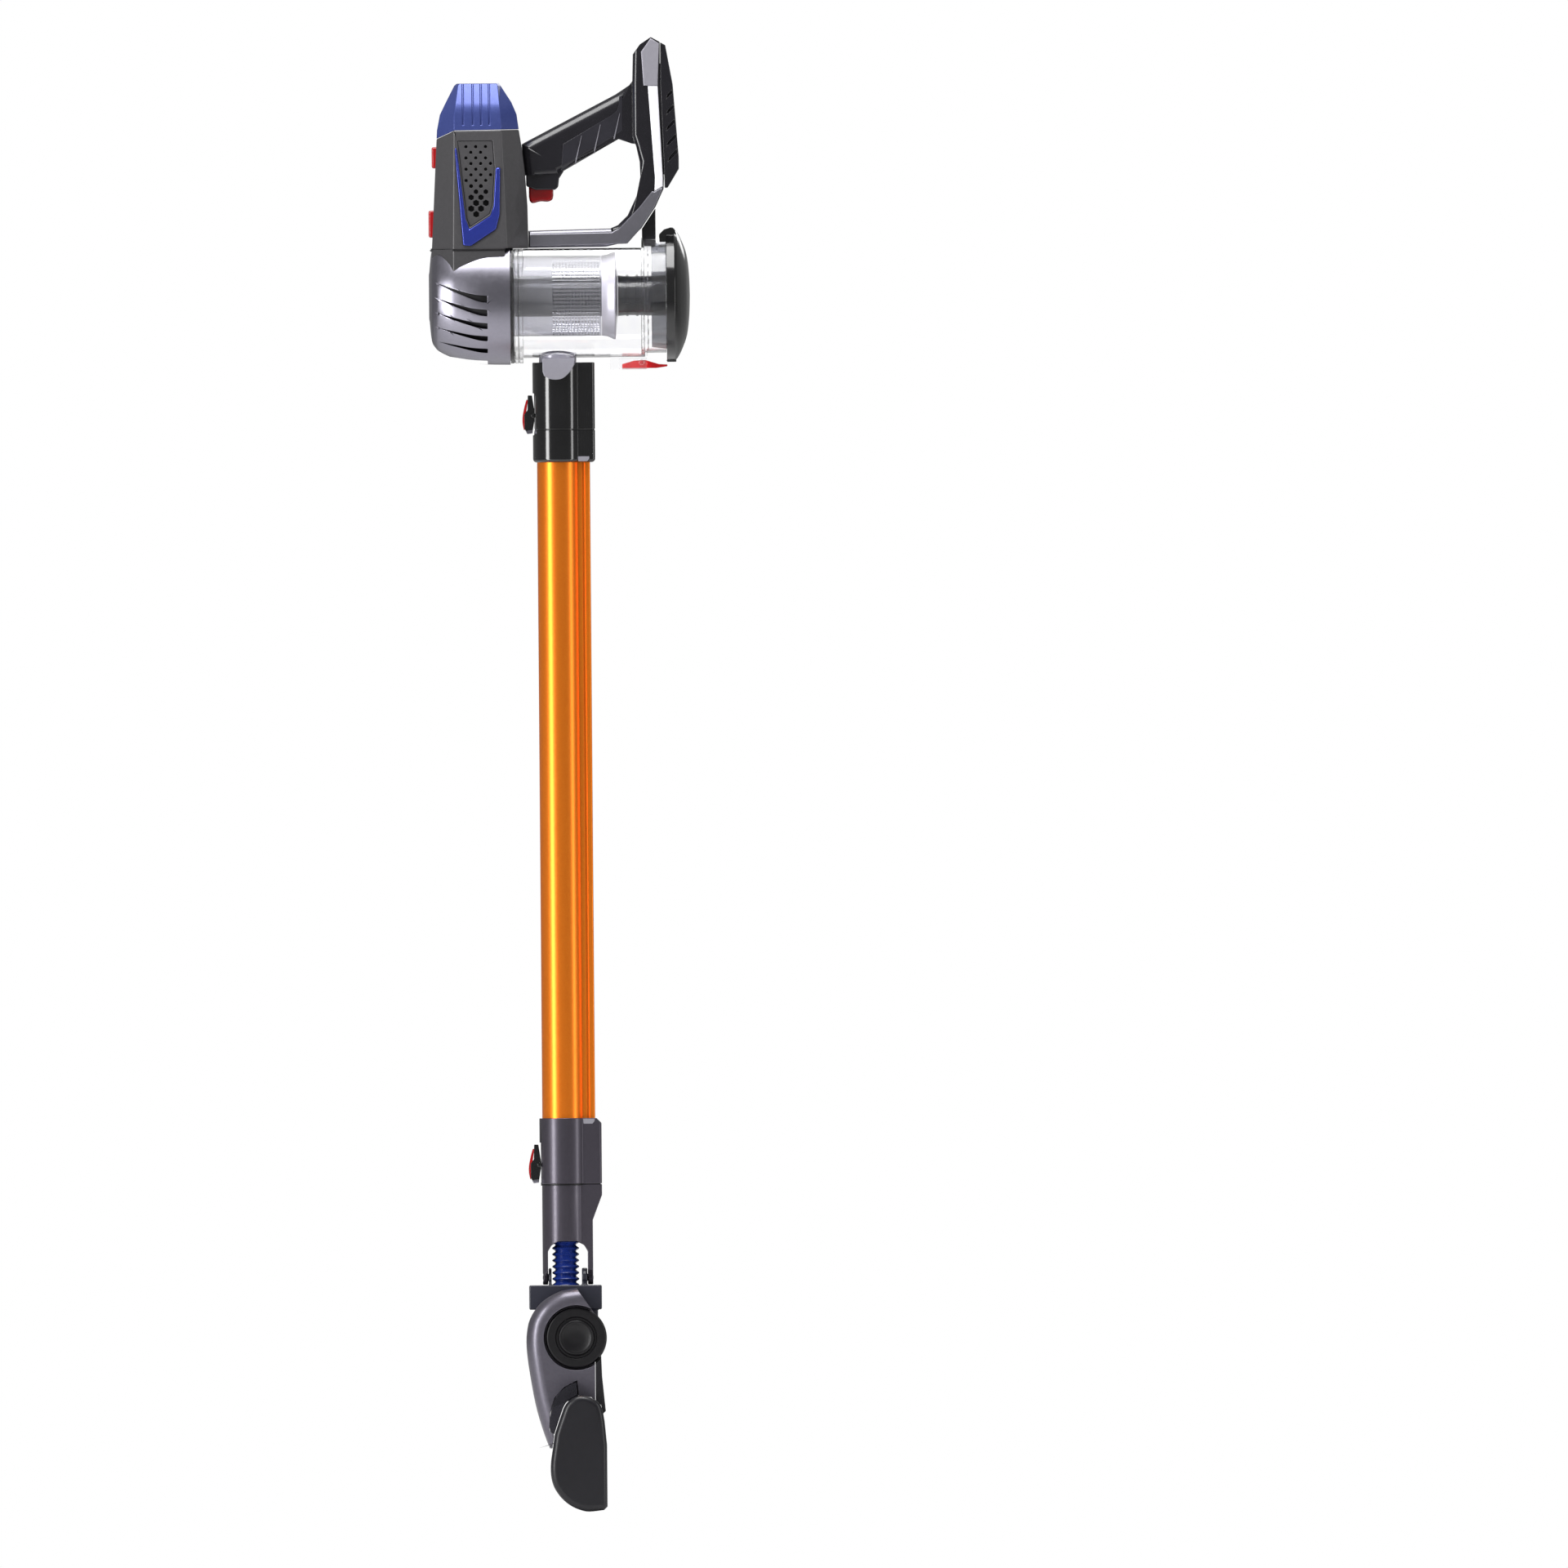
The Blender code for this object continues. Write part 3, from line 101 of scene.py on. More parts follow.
def spot(axis: Axis, station: float, across: float, up: float) -> Vector:
    """Point in metres at a station along an axis.

    Args:
        axis: Direction of the station.
        station: Place along the axis, in mm.
        across: First of the other two coordinates, in mm.
        up: Second of the other two coordinates, in mm.

    Returns:
        The point.
    """
    if axis is Axis.X:
        return Vector((station, across, up)) * MM
    if axis is Axis.Y:
        return Vector((across, station, up)) * MM
    return Vector((across, up, station)) * MM


def span(node: str) -> tuple[Vector, Vector]:
    """Lowest and highest corners of a CAD node, in mm.

    Args:
        node: Name of the node.

    Returns:
        The two corners.
    """
    low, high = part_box(node)
    return low / MM, high / MM


def centre_xz(node: str) -> Pair:
    """Middle of a CAD node's box in X and Z, in mm."""
    low, high = span(node)
    return (low.x + high.x) / 2, (low.z + high.z) / 2


def on_side(side: int, near: float, far: float) -> Pair:
    """Range along Y between two distances from the middle plane, on the side -1 or 1."""
    first, second = sorted((side * near, side * far))
    return first, second


def hold(piece: Piece) -> None:
    """Leaves edit mode and makes one piece the only selected one."""
    if bpy.context.mode != "OBJECT":
        bpy.ops.object.mode_set(mode="OBJECT")
    bpy.ops.object.select_all(action="DESELECT")
    piece.select_set(True)
    bpy.context.view_layer.objects.active = piece


def edit(piece: Piece) -> None:
    """Opens a piece in edit mode with all of it selected."""
    hold(piece)
    bpy.ops.object.mode_set(mode="EDIT")
    bpy.ops.mesh.select_mode(type="VERT")
    bpy.ops.mesh.select_all(action="SELECT")


def close() -> None:
    """Goes back to object mode."""
    bpy.ops.object.mode_set(mode="OBJECT")


def started(name: str) -> Piece:
    """Names the primitive that was just added, with its place in its mesh."""
    piece = bpy.context.object
    piece.name = name
    piece.data.name = name
    bpy.ops.object.transform_apply(location=True, rotation=True, scale=True)
    return piece


def clear_desk() -> None:
    """Deselects everything before a primitive is added."""
    if bpy.context.mode != "OBJECT":
        bpy.ops.object.mode_set(mode="OBJECT")
    bpy.ops.object.select_all(action="DESELECT")


def block(name: str, x: Pair, y: Pair, z: Pair) -> Piece:
    """Box between two corners.

    Args:
        name: Name of the piece.
        x: Range along X, in mm.
        y: Range along Y, in mm.
        z: Range along Z, in mm.

    Returns:
        The box.
    """
    clear_desk()
    middle = Vector((sum(x), sum(y), sum(z))) * MM / 2
    sides = Vector((x[1] - x[0], y[1] - y[0], z[1] - z[0])) * MM
    bpy.ops.mesh.primitive_cube_add(size=1, location=middle, scale=sides)
    return started(name)


def rod(name: str, axis: Axis, centre: Pair, radius: float, reach: Pair, sides: int = 64) -> Piece:
    """Cylinder along an axis.

    Args:
        name: Name of the piece.
        axis: Direction of the cylinder.
        centre: The other two coordinates of its middle, in mm.
        radius: Radius in mm.
        reach: Range along the axis, in mm.
        sides: Number of sides.

    Returns:
        The cylinder.
    """
    clear_desk()
    turn = {Axis.X: (0, math.pi / 2, 0), Axis.Y: (math.pi / 2, 0, 0), Axis.Z: (0, 0, 0)}[axis]
    bpy.ops.mesh.primitive_cylinder_add(
        vertices=sides, radius=radius * MM, depth=(reach[1] - reach[0]) * MM,
        location=spot(axis, sum(reach) / 2, *centre), rotation=turn,
    )
    return started(name)


def drawn(name: str, points: Sequence[Vector], filled: bool = False) -> Piece:
    """Line drawn by extruding one vertex from point to point.

    Args:
        name: Name of the piece.
        points: Points in metres.
        filled: True to close the line with a face.

    Returns:
        The line or face.
    """
    clear_desk()
    bpy.ops.mesh.primitive_plane_add(size=MM, location=points[0])
    piece = started(name)
    edit(piece)
    bpy.ops.mesh.merge(type="CENTER")
    for before, after in zip(points, points[1:]):
        bpy.ops.mesh.extrude_region_move(TRANSFORM_OT_translate={"value": after - before})
    if filled:
        bpy.ops.mesh.select_all(action="SELECT")
        bpy.ops.mesh.edge_face_add()
    close()
    return piece


def pulled(piece: Piece, shift: Vector) -> Piece:
    """Face pulled out into a solid.

    Args:
        piece: A piece that is one face.
        shift: The pull, in metres.

    Returns:
        The solid.
    """
    edit(piece)
    bpy.ops.mesh.extrude_region_move(TRANSFORM_OT_translate={"value": shift})
    bpy.ops.mesh.select_all(action="SELECT")
    bpy.ops.mesh.normals_make_consistent(inside=False)
    close()
    return piece


def slab(name: str, axis: Axis, reach: Pair, outline: Outline) -> Piece:
    """Outline pulled out along an axis.

    Args:
        name: Name of the piece.
        axis: Direction of the pull.
        reach: Range along the axis, in mm.
        outline: The other two coordinates of its corners, in mm.

    Returns:
        The solid.
    """
    face = drawn(name, [spot(axis, reach[0], u, v) for u, v in outline], filled=True)
    return pulled(face, Vector(axis.value) * (reach[1] - reach[0]) * MM)


def turned(name: str, axis: Axis, centre: Pair, profile: Outline, steps: int = 96) -> Piece:
    """Profile spun round an axis.

    Args:
        name: Name of the piece.
        axis: Axis of the turning.
        centre: The other two coordinates of the axis, in mm.
        profile: Stations and radii in mm; a ring's profile ends where it starts.
        steps: Number of steps in the full turn.

    Returns:
        The turned piece.
    """
    line = [spot(axis, station, centre[0] + radius, centre[1]) for station, radius in profile]
    piece = drawn(name, line)
    edit(piece)
    bpy.ops.mesh.spin(steps=steps, angle=2 * math.pi, center=spot(axis, 0, *centre), axis=axis.value)
    bpy.ops.mesh.select_all(action="SELECT")
    bpy.ops.mesh.remove_doubles(threshold=WELD)
    bpy.ops.mesh.normals_make_consistent(inside=False)
    close()
    return piece


def casting(name: str, *nodes: str) -> Piece:
    """Copy of CAD nodes as clean shells whose flat faces are whole.

    Args:
        name: Name of the piece.
        nodes: Names of the nodes.

    Returns:
        The copy.
    """
    copies = []
    for node in nodes:
        copy = bpy.data.objects.new(name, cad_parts[node].data.copy())
        bpy.context.scene.collection.objects.link(copy)
        copies.append(copy)
    hold(copies[0])
    bpy.ops.mesh.customdata_custom_splitnormals_clear()
    for copy in copies:
        copy.select_set(True)
    if len(copies) > 1:
        bpy.ops.object.join()
    piece = copies[0]
    edit(piece)
    bpy.ops.mesh.remove_doubles(threshold=WELD)
    bpy.ops.mesh.dissolve_limited(angle_limit=math.radians(0.5))
    close()
    return piece


def twin(piece: Piece, name: str) -> Piece:
    """Copy of a piece with its own mesh."""
    copy = bpy.data.objects.new(name, piece.data.copy())
    bpy.context.scene.collection.objects.link(copy)
    return copy


def across(piece: Piece, name: str) -> Piece:
    """Mirror image of a piece on the other side of the plane of symmetry."""
    copy = twin(piece, name)
    edit(copy)
    bpy.ops.transform.resize(value=(1, -1, 1), center_override=(0, 0, 0))
    bpy.ops.mesh.flip_normals()
    close()
    return copy


def apply_last(piece: Piece) -> None:
    """Applies the modifier that was added last."""
    hold(piece)
    bpy.ops.object.modifier_apply(modifier=piece.modifiers[-1].name)


def combine(piece: Piece, tools: Iterable[Piece], operation: str) -> Piece:
    """Boolean of a piece with tools, which are used up.

    Args:
        piece: The piece to change.
        tools: Other pieces.
        operation: DIFFERENCE, UNION or INTERSECT.

    Returns:
        The piece.
    """
    for tool in tools:
        step = piece.modifiers.new("fit", "BOOLEAN")
        step.operation = operation
        step.solver = "EXACT"
        step.object = tool
        apply_last(piece)
        bpy.data.objects.remove(tool)
    return piece


def carve(piece: Piece, *tools: Piece) -> Piece:
    """Cuts each tool out of a piece."""
    return combine(piece, tools, "DIFFERENCE")


def weld(piece: Piece, *tools: Piece) -> Piece:
    """Adds each tool to a piece."""
    return combine(piece, tools, "UNION")


def gathered(pieces: Sequence[Piece], name: str) -> Piece:
    """Joins separate pieces into one object.

    Args:
        pieces: The pieces.
        name: Name of the result.

    Returns:
        The first piece, which now holds them all.
    """
    hold(pieces[0])
    for piece in pieces:
        piece.select_set(True)
    if len(pieces) > 1:
        bpy.ops.object.join()
    pieces[0].name = name
    return pieces[0]


def pick(piece: Piece, kind: Pick, test: Test) -> None:
    """Opens a piece in edit mode with the elements that pass a test selected.

    Args:
        piece: The piece.
        kind: Faces or edges.
        test: Takes an element's middle in mm and its direction, which is a face's normal or
            an edge's run, and says whether it is selected.
    """
    hold(piece)
    bpy.ops.object.mode_set(mode="EDIT")
    bpy.ops.mesh.select_mode(type=kind.value)
    bpy.ops.mesh.select_all(action="DESELECT")
    mesh = bmesh.from_edit_mesh(piece.data)
    if kind is Pick.FACES:
        for face in mesh.faces:
            face.select_set(test(face.calc_center_median() / MM, face.normal))
    else:
        for edge in mesh.edges:
            first, second = (vert.co for vert in edge.verts)
            edge.select_set(test((first + second) / 2 / MM, (second - first).normalized()))
    bmesh.update_edit_mesh(piece.data)


def round_edges(piece: Piece, width: float, segments: int, test: Test) -> Piece:
    """Rounds the edges that pass a test.

    Args:
        piece: The piece.
        width: Width of the rounding in mm.
        segments: Steps in the rounding.
        test: Which edges, as pick takes it.

    Returns:
        The piece.
    """
    pick(piece, Pick.EDGES, test)
    bpy.ops.mesh.bevel(
        offset=width * MM, offset_type="OFFSET", segments=segments, profile=0.5, affect="EDGES",
        clamp_overlap=False,
    )
    close()
    return piece


def soften(piece: Piece, width: float, segments: int = 2, angle: float = 30) -> Piece:
    """Rounds every edge that is sharper than an angle.

    Args:
        piece: The piece.
        width: Width of the rounding in mm.
        segments: Steps in the rounding.
        angle: Angle in degrees.

    Returns:
        The piece.
    """
    step = piece.modifiers.new("soft", "BEVEL")
    step.width = width * MM
    step.segments = segments
    step.limit_method = "ANGLE"
    step.angle_limit = math.radians(angle)
    step.use_clamp_overlap = False
    apply_last(piece)
    return piece


def groove(piece: Piece, place: Vector, normal: Axis, width: float, depth: float, test: Test) -> Piece:
    """Sinks a parting line into a piece where a plane meets its outside.

    Args:
        piece: The piece.
        place: A point on the plane, in mm.
        normal: Normal of the plane.
        width: Width of the line in mm.
        depth: Depth of the line in mm.
        test: Which of the cut's edges are on the outside, as pick takes it.

    Returns:
        The piece.
    """
    edit(piece)
    bpy.ops.mesh.bisect(plane_co=place * MM, plane_no=normal.value)
    along = Vector(normal.value)
    level = place.dot(along)

    def on_line(middle: Vector, run: Vector) -> bool:
        return abs(middle.dot(along) - level) < 0.01 and abs(run.dot(along)) < 0.01 and test(middle, run)

    close()
    pick(piece, Pick.EDGES, on_line)
    bpy.ops.mesh.bevel(offset=width * MM / 2, segments=1, affect="EDGES", clamp_overlap=False)
    close()

    def in_line(middle: Vector, facing: Vector) -> bool:
        return abs(middle.dot(along) - level) < width * 0.3 and test(middle, facing)

    pick(piece, Pick.FACES, in_line)
    bpy.ops.mesh.extrude_region_shrink_fatten(TRANSFORM_OT_shrink_fatten={"value": -depth * MM})
    close()
    return piece


def trimmed(piece: Piece, place: Vector, normal: Vector) -> Piece:
    """Cuts a piece off at a plane and closes it, leaving the side that the normal points away from.

    Args:
        piece: The piece.
        place: A point on the plane, in mm.
        normal: Normal of the plane.

    Returns:
        The piece.
    """
    edit(piece)
    bpy.ops.mesh.bisect(plane_co=place * MM, plane_no=normal, use_fill=True, clear_outer=True)
    close()
    return piece


# ---------------------------------------------------------------- outlines

def smooth_line(points: Outline, steps: int) -> Outline:
    """Catmull-Rom curve through points.

    Args:
        points: The points.
        steps: Steps from each point to the next.

    Returns:
        The finer line.
    """
    size = len(points)
    line: Outline = []
    for k in range(size - 1):
        before, start, end, after = (
            Vector(points[min(max(k + step, 0), size - 1)]) for step in (-1, 0, 1, 2)
        )
        for step in range(steps):
            t = step / steps
            at = 0.5 * (
                2 * start + (end - before) * t + (2 * before - 5 * start + 4 * end - after) * t * t
                + (3 * start - before - 3 * end + after) * t ** 3
            )
            line.append((at.x, at.y))
    line.append(points[-1])
    return line


def arc(centre: Pair, radius: float, start: float, end: float, count: int) -> Outline:
    """Points of an arc, with its angles in degrees.

    Args:
        centre: Middle of the arc.
        radius: Its radius.
        start: Angle of its first point.
        end: Angle of its last point.
        count: Number of steps.

    Returns:
        The points.
    """
    turns = [math.radians(start + (end - start) * k / count) for k in range(count + 1)]
    return [(centre[0] + radius * math.cos(t), centre[1] + radius * math.sin(t)) for t in turns]


def lifted(outline: Outline, height: float) -> Outline:
    """Outline in X and Z raised by a height."""
    return [(x, z + height) for x, z in outline]


def grown(outline: Outline, margin: float) -> Outline:
    """Outline moved outwards by a margin.

    Args:
        outline: Corners of a closed outline.
        margin: The move in mm, or a negative one for inwards.

    Returns:
        The moved corners.
    """
    size = len(outline)
    area = sum(
        outline[k - 1][0] * outline[k][1] - outline[k][0] * outline[k - 1][1] for k in range(size)
    )
    side = -1 if area > 0 else 1
    moved: Outline = []
    for k in range(size):
        before, here, after = (Vector(outline[(k + step) % size]) for step in (-1, 0, 1))
        first = (here - before).normalized()
        second = (after - here).normalized()
        normal = Vector((-first.y, first.x)) * side
        other = Vector((-second.y, second.x)) * side
        shift = (normal + other) * (margin / (1 + normal.dot(other)))
        moved.append((here.x + shift.x, here.y + shift.y))
    return moved


def keyhole(radius: float, nose: float, half: float, count: int = 64) -> Outline:
    """Plan of a round tube with a square nose towards +X.

    Args:
        radius: Radius of the tube in mm.
        nose: X of the nose's end in mm.
        half: Half the width of the nose in mm.
        count: Steps in the round part.

    Returns:
        The plan.
    """
    start = math.degrees(math.asin(half / radius))
    return arc((0, 0), radius, start, 360 - start, count) + [(nose, -half), (nose, half)]


def flat_round(radius: float, flat: float, centre: float, count: int = 96) -> Outline:
    """Circle with its top cut off flat, in Y and Z.

    Args:
        radius: Radius in mm.
        flat: Height of the flat over the centre in mm.
        centre: Height of the centre in mm.
        count: Steps in the round part.

    Returns:
        The outline.
    """
    start = math.degrees(math.asin(flat / radius))
    return arc((0, centre), radius, start, -180 - start, count)


# ---------------------------------------------------------------- finishes

def linear(colour: str) -> tuple[float, float, float, float]:
    """Linear colour of an sRGB hex value."""
    parts = [int(colour[k:k + 2], 16) / 255 for k in (1, 3, 5)]
    red, green, blue = (c / 12.92 if c <= 0.04045 else ((c + 0.055) / 1.055) ** 2.4 for c in parts)
    return red, green, blue, 1.0


def add(tree: bpy.types.NodeTree, kind: str, sets: dict[str, Any] | None = None,
        feeds: dict[str, Any] | None = None) -> bpy.types.Node:
    """Adds a shader node.

    Args:
        tree: The material's nodes.
        kind: Type of the node.
        sets: Its settings, by attribute name.
        feeds: Its inputs, by name or index: a value, or another node's output to link.

    Returns:
        The node.
    """
    node = tree.nodes.new(kind)
    for name, value in (sets or {}).items():
        setattr(node, name, value)
    for name, value in (feeds or {}).items():
        if isinstance(value, bpy.types.NodeSocket):
            tree.links.new(value, node.inputs[name])
        else:
            node.inputs[name].default_value = value
    return node


def pattern(tree: bpy.types.NodeTree, size: float, stretch: tuple[float, float, float] = (1, 1, 1),
            detail: float = 2.0) -> bpy.types.NodeSocket:
    """Noise over the surface of a piece.

    Args:
        tree: The material's nodes.
        size: Size of its spots in mm.
        stretch: Share of the noise's frequency along each axis.
        detail: Finer layers of the noise.

    Returns:
        The noise's value.
    """
    place = add(tree, "ShaderNodeTexCoord").outputs["Object"]
    mapped = add(tree, "ShaderNodeMapping", feeds={"Vector": place, "Scale": stretch})
    noise = add(tree, "ShaderNodeTexNoise", feeds={
        "Vector": mapped.outputs["Vector"], "Scale": 1 / (size * MM), "Detail": detail,
    })
    return noise.outputs["Fac"]


def between(tree: bpy.types.NodeTree, amount: bpy.types.NodeSocket, low: float,
            high: float) -> bpy.types.NodeSocket:
    """Noise value spread over a range of numbers."""
    spread = add(tree, "ShaderNodeMapRange", feeds={
        "Value": amount, "From Min": 0.3, "From Max": 0.7, "To Min": low, "To Max": high,
    })
    return spread.outputs["Result"]


def blended(tree: bpy.types.NodeTree, amount: bpy.types.NodeSocket, first: str,
            second: str) -> bpy.types.NodeSocket:
    """Colour between two hex colours, by an amount."""
    mix = add(tree, "ShaderNodeMix", {"data_type": "RGBA"}, {
        0: between(tree, amount, 0, 1), 6: linear(first), 7: linear(second),
    })
    return mix.outputs[2]


def bump(tree: bpy.types.NodeTree, height: bpy.types.NodeSocket, lift: float) -> bpy.types.NodeSocket:
    """Normal of a surface that is raised by a pattern, up to a lift in mm."""
    node = add(tree, "ShaderNodeBump", feeds={"Height": height, "Strength": 1.0, "Distance": lift * MM})
    return node.outputs["Normal"]


@dataclass(frozen=True)
class Finish:
    """Base of every finish: its name and its two colours, which drift into each other."""

    name: str
    colour: str
    second: str

    def made(self) -> bpy.types.Material:
        """The material, made once and then reused."""
        known = bpy.data.materials.get(self.name)
        if known:
            return known
        material = bpy.data.materials.new(self.name)
        material.use_nodes = True
        self.dress(material.node_tree, material.node_tree.nodes["Principled BSDF"])
        return material

    def dress(self, tree: bpy.types.NodeTree, shader: bpy.types.Node) -> None:
        """Links the finish's nodes to the shader."""
        raise NotImplementedError


@dataclass(frozen=True)
class Moulded(Finish):
    """Injection-moulded plastic or rubber: a spark-eroded grain under a soft shine.

    The real grain is a tenth of a millimetre; it is drawn some twenty times coarser and almost flat.
    """

    roughness: float = 0.35
    grain: float = 2.4
    lift: float = 0.02
    coat: float = 0.0
    metal: float = 0.0
    ior: float = 1.5

    def dress(self, tree: bpy.types.NodeTree, shader: bpy.types.Node) -> None:
        """Drifting colour, uneven shine and a fine grain."""
        drift = pattern(tree, 24)
        fine = pattern(tree, self.grain, detail=3)
        tree.links.new(blended(tree, drift, self.colour, self.second), shader.inputs["Base Color"])
        tree.links.new(
            between(tree, fine, self.roughness * 0.94, self.roughness * 1.06), shader.inputs["Roughness"]
        )
        tree.links.new(bump(tree, fine, self.lift), shader.inputs["Normal"])
        shader.inputs["IOR"].default_value = self.ior
        shader.inputs["Metallic"].default_value = self.metal
        shader.inputs["Coat Weight"].default_value = self.coat
        shader.inputs["Coat Roughness"].default_value = 0.08


@dataclass(frozen=True)
class FlakePaint(Finish):
    """Metallic paint: aluminium flakes under a clear coat.

    Real flakes are a twentieth of a millimetre; they are drawn coarser, in two close tones.
    """

    roughness: float = 0.32
    flake: float = 2.2
    metal: float = 0.75
    coat: float = 0.4

    def dress(self, tree: bpy.types.NodeTree, shader: bpy.types.Node) -> None:
        """Flakes in colour, shine and tilt."""
        place = add(tree, "ShaderNodeTexCoord").outputs["Object"]
        flakes = add(tree, "ShaderNodeTexVoronoi", feeds={
            "Vector": place, "Scale": 1 / (self.flake * MM),
        })
        tone = add(tree, "ShaderNodeSeparateColor", feeds={"Color": flakes.outputs["Color"]})
        tree.links.new(
            blended(tree, tone.outputs["Red"], self.colour, self.second), shader.inputs["Base Color"]
        )
        tree.links.new(
            between(tree, tone.outputs["Green"], self.roughness * 0.96, self.roughness * 1.04),
            shader.inputs["Roughness"],
        )
        tree.links.new(bump(tree, pattern(tree, self.flake * 3, detail=2), 0.0006), shader.inputs["Normal"])
        shader.inputs["Metallic"].default_value = self.metal
        shader.inputs["Coat Weight"].default_value = self.coat
        shader.inputs["Coat Roughness"].default_value = 0.1


@dataclass(frozen=True)
class Metal(Finish):
    """Bare or anodised metal: drawn lines run along it and blur its reflections."""

    roughness: float = 0.3
    line: float = 1.2
    stretch: tuple[float, float, float] = (1, 1, 0.03)
    lift: float = 0.01
    metal: float = 1.0

    def dress(self, tree: bpy.types.NodeTree, shader: bpy.types.Node) -> None:
        """Drawn lines, a blasted grain and a drifting tone."""
        lines = pattern(tree, self.line, self.stretch, 3)
        grain = pattern(tree, 1.6, detail=4)
        tree.links.new(blended(tree, grain, self.colour, self.second), shader.inputs["Base Color"])
        tree.links.new(
            between(tree, grain, self.roughness * 0.94, self.roughness * 1.06), shader.inputs["Roughness"]
        )
        tree.links.new(bump(tree, lines, self.lift), shader.inputs["Normal"])
        shader.inputs["Metallic"].default_value = self.metal


@dataclass(frozen=True)
class ClearPlastic(Finish):
    """Polished polycarbonate: see-through, with sharp highlights and hairline handling marks."""

    roughness: float = 0.03
    clear: float = 1.0
    marks: float = 0.004

    def dress(self, tree: bpy.types.NodeTree, shader: bpy.types.Node) -> None:
        """Glass that lets lamps through, with faint marks."""
        marks = pattern(tree, 9, (1, 1, 0.2), 4)
        tree.links.new(blended(tree, marks, self.colour, self.second), shader.inputs["Base Color"])
        tree.links.new(
            between(tree, marks, self.roughness, self.roughness * 1.5 + 0.01), shader.inputs["Roughness"]
        )
        tree.links.new(bump(tree, marks, self.marks), shader.inputs["Normal"])
        shader.inputs["IOR"].default_value = 1.35
        shader.inputs["Transmission Weight"].default_value = self.clear
        rays = add(tree, "ShaderNodeLightPath")
        through = add(tree, "ShaderNodeBsdfTransparent", feeds={"Color": linear(self.colour)})
        mix = add(tree, "ShaderNodeMixShader", feeds={
            0: rays.outputs["Is Shadow Ray"], 1: shader.outputs["BSDF"], 2: through.outputs["BSDF"],
        })
        tree.links.new(mix.outputs["Shader"], tree.nodes["Material Output"].inputs["Surface"])


@dataclass(frozen=True)
class Felt(Finish):
    """Needled polyester felt or brush fibre: matt, with a loose tangle of fibres."""

    fibre: float = 1.4

    def dress(self, tree: bpy.types.NodeTree, shader: bpy.types.Node) -> None:
        """Tangled fibres in colour and height."""
        fibres = pattern(tree, self.fibre, (1, 0.4, 1), 5)
        tree.links.new(blended(tree, fibres, self.colour, self.second), shader.inputs["Base Color"])
        tree.links.new(bump(tree, fibres, 0.25), shader.inputs["Normal"])
        shader.inputs["Roughness"].default_value = 0.95
        shader.inputs["Sheen Weight"].default_value = 0.3


# Satin dark grey ABS of the motor tower: a warm grey with a faint metallic speckle
HOUSING = FlakePaint("satin_grey_abs", "#3f3e40", "#414042", 0.42, 2.2, 0.2, 0.2)
# Gloss black ABS of the collars: deep black that mirrors the lights as long streaks
GLOSS_BLACK = Moulded("gloss_black_abs", "#0e0e0f", "#131314", 0.14, 1.6, 0.002, 0.5)
# Spark-eroded black polypropylene of the handle: black with a violet cast, and a broad soft shine
HANDLE_BLACK = Moulded("eroded_black_polypropylene", "#131217", "#17161b", 0.24, 2.4, 0.002, 0.3)
# Charcoal ABS of the brush hood and end caps: blue-black and smooth, with a pale line on its edge
CHARCOAL = Moulded("charcoal_abs", "#0b0a11", "#0f0e15", 0.4, 2.4, 0.001, 0.1, 0.0, 1.45)
# Blue-grey nylon of the swivel knuckle: darker and bluer than the cover beside it
KNUCKLE_GREY = Moulded("blue_grey_nylon", "#252632", "#292a36", 0.36, 2.4, 0.003, 0.1)
# Grey painted ABS of the neck and the head: brownish grey, glossier than the tower
NECK_GREY = FlakePaint("gloss_grey_abs", "#4d4952", "#4e4a53", 0.35, 2.2, 0.72, 0.2)
# Grey paint of the head's cover, lighter than the neck's as a painted highlight: its wide rounding turns to a
# silver band
COVER_GREY_HIGHLIGHT = FlakePaint("grey_paint_painted_highlight", "#625f69", "#65626c", 0.36, 2.2, 0.72, 0.2)
# Silver paint of the cyclone drum: a cool lavender silver that goes from near black to white
DRUM_SILVER = FlakePaint("metallic_silver_paint", "#8d8b96", "#8f8d98", 0.3, 2.2, 0.96, 0.1)
# Satin chrome paint of the handle's strip, made pale as a painted highlight where it runs down the column,
# with a wide white reflection
STRIP_WHITE_HIGHLIGHT = FlakePaint("silver_paint_painted_highlight", "#e8e7ed", "#eae9ef", 0.3, 2.2, 0.2, 0.3)
# Pewter paint of the handle's bar and bend: the strip's silver, toned down to a mid grey
PEWTER = FlakePaint("pewter_paint", "#7a7981", "#7c7b83", 0.3, 2.2, 0.7, 0.3)
# Metallic blue paint of the filter cap: dusty royal blue that lifts to lavender in the light
CAP_BLUE = FlakePaint("metallic_blue_paint", "#3b4784", "#3d4986", 0.34, 2.2, 0.45, 0.15)
# Metallic blue paint of the vent trims: deeper than the cap, with a pale chamfer
TRIM_BLUE = FlakePaint("deep_blue_paint", "#2d3b9a", "#2f3d9d", 0.22, 2.2, 0.6, 0.5)
# Gloss red ABS of the buttons, trigger and latches: deep, with one clear highlight
RED = Moulded("gloss_red_abs", "#9c080d", "#a50a10", 0.2, 2.4, 0.001, 0.4)
# Clear polycarbonate of the bin and its seal ring: nearly colourless, grey at its edges
CLEAR = ClearPlastic("clear_polycarbonate", "#fbfbfd", "#ffffff", 0.02)
# Smoked polycarbonate of the door skirt: see-through grey
SMOKED = ClearPlastic("smoked_polycarbonate", "#a2a3a7", "#adaeb2", 0.06)
# Dark smoked polycarbonate of the lamp's lens: nearly black, with a sharp edge light
LENS_BLACK = ClearPlastic("dark_polycarbonate", "#34333a", "#3c3b42", 0.06, 0.5)
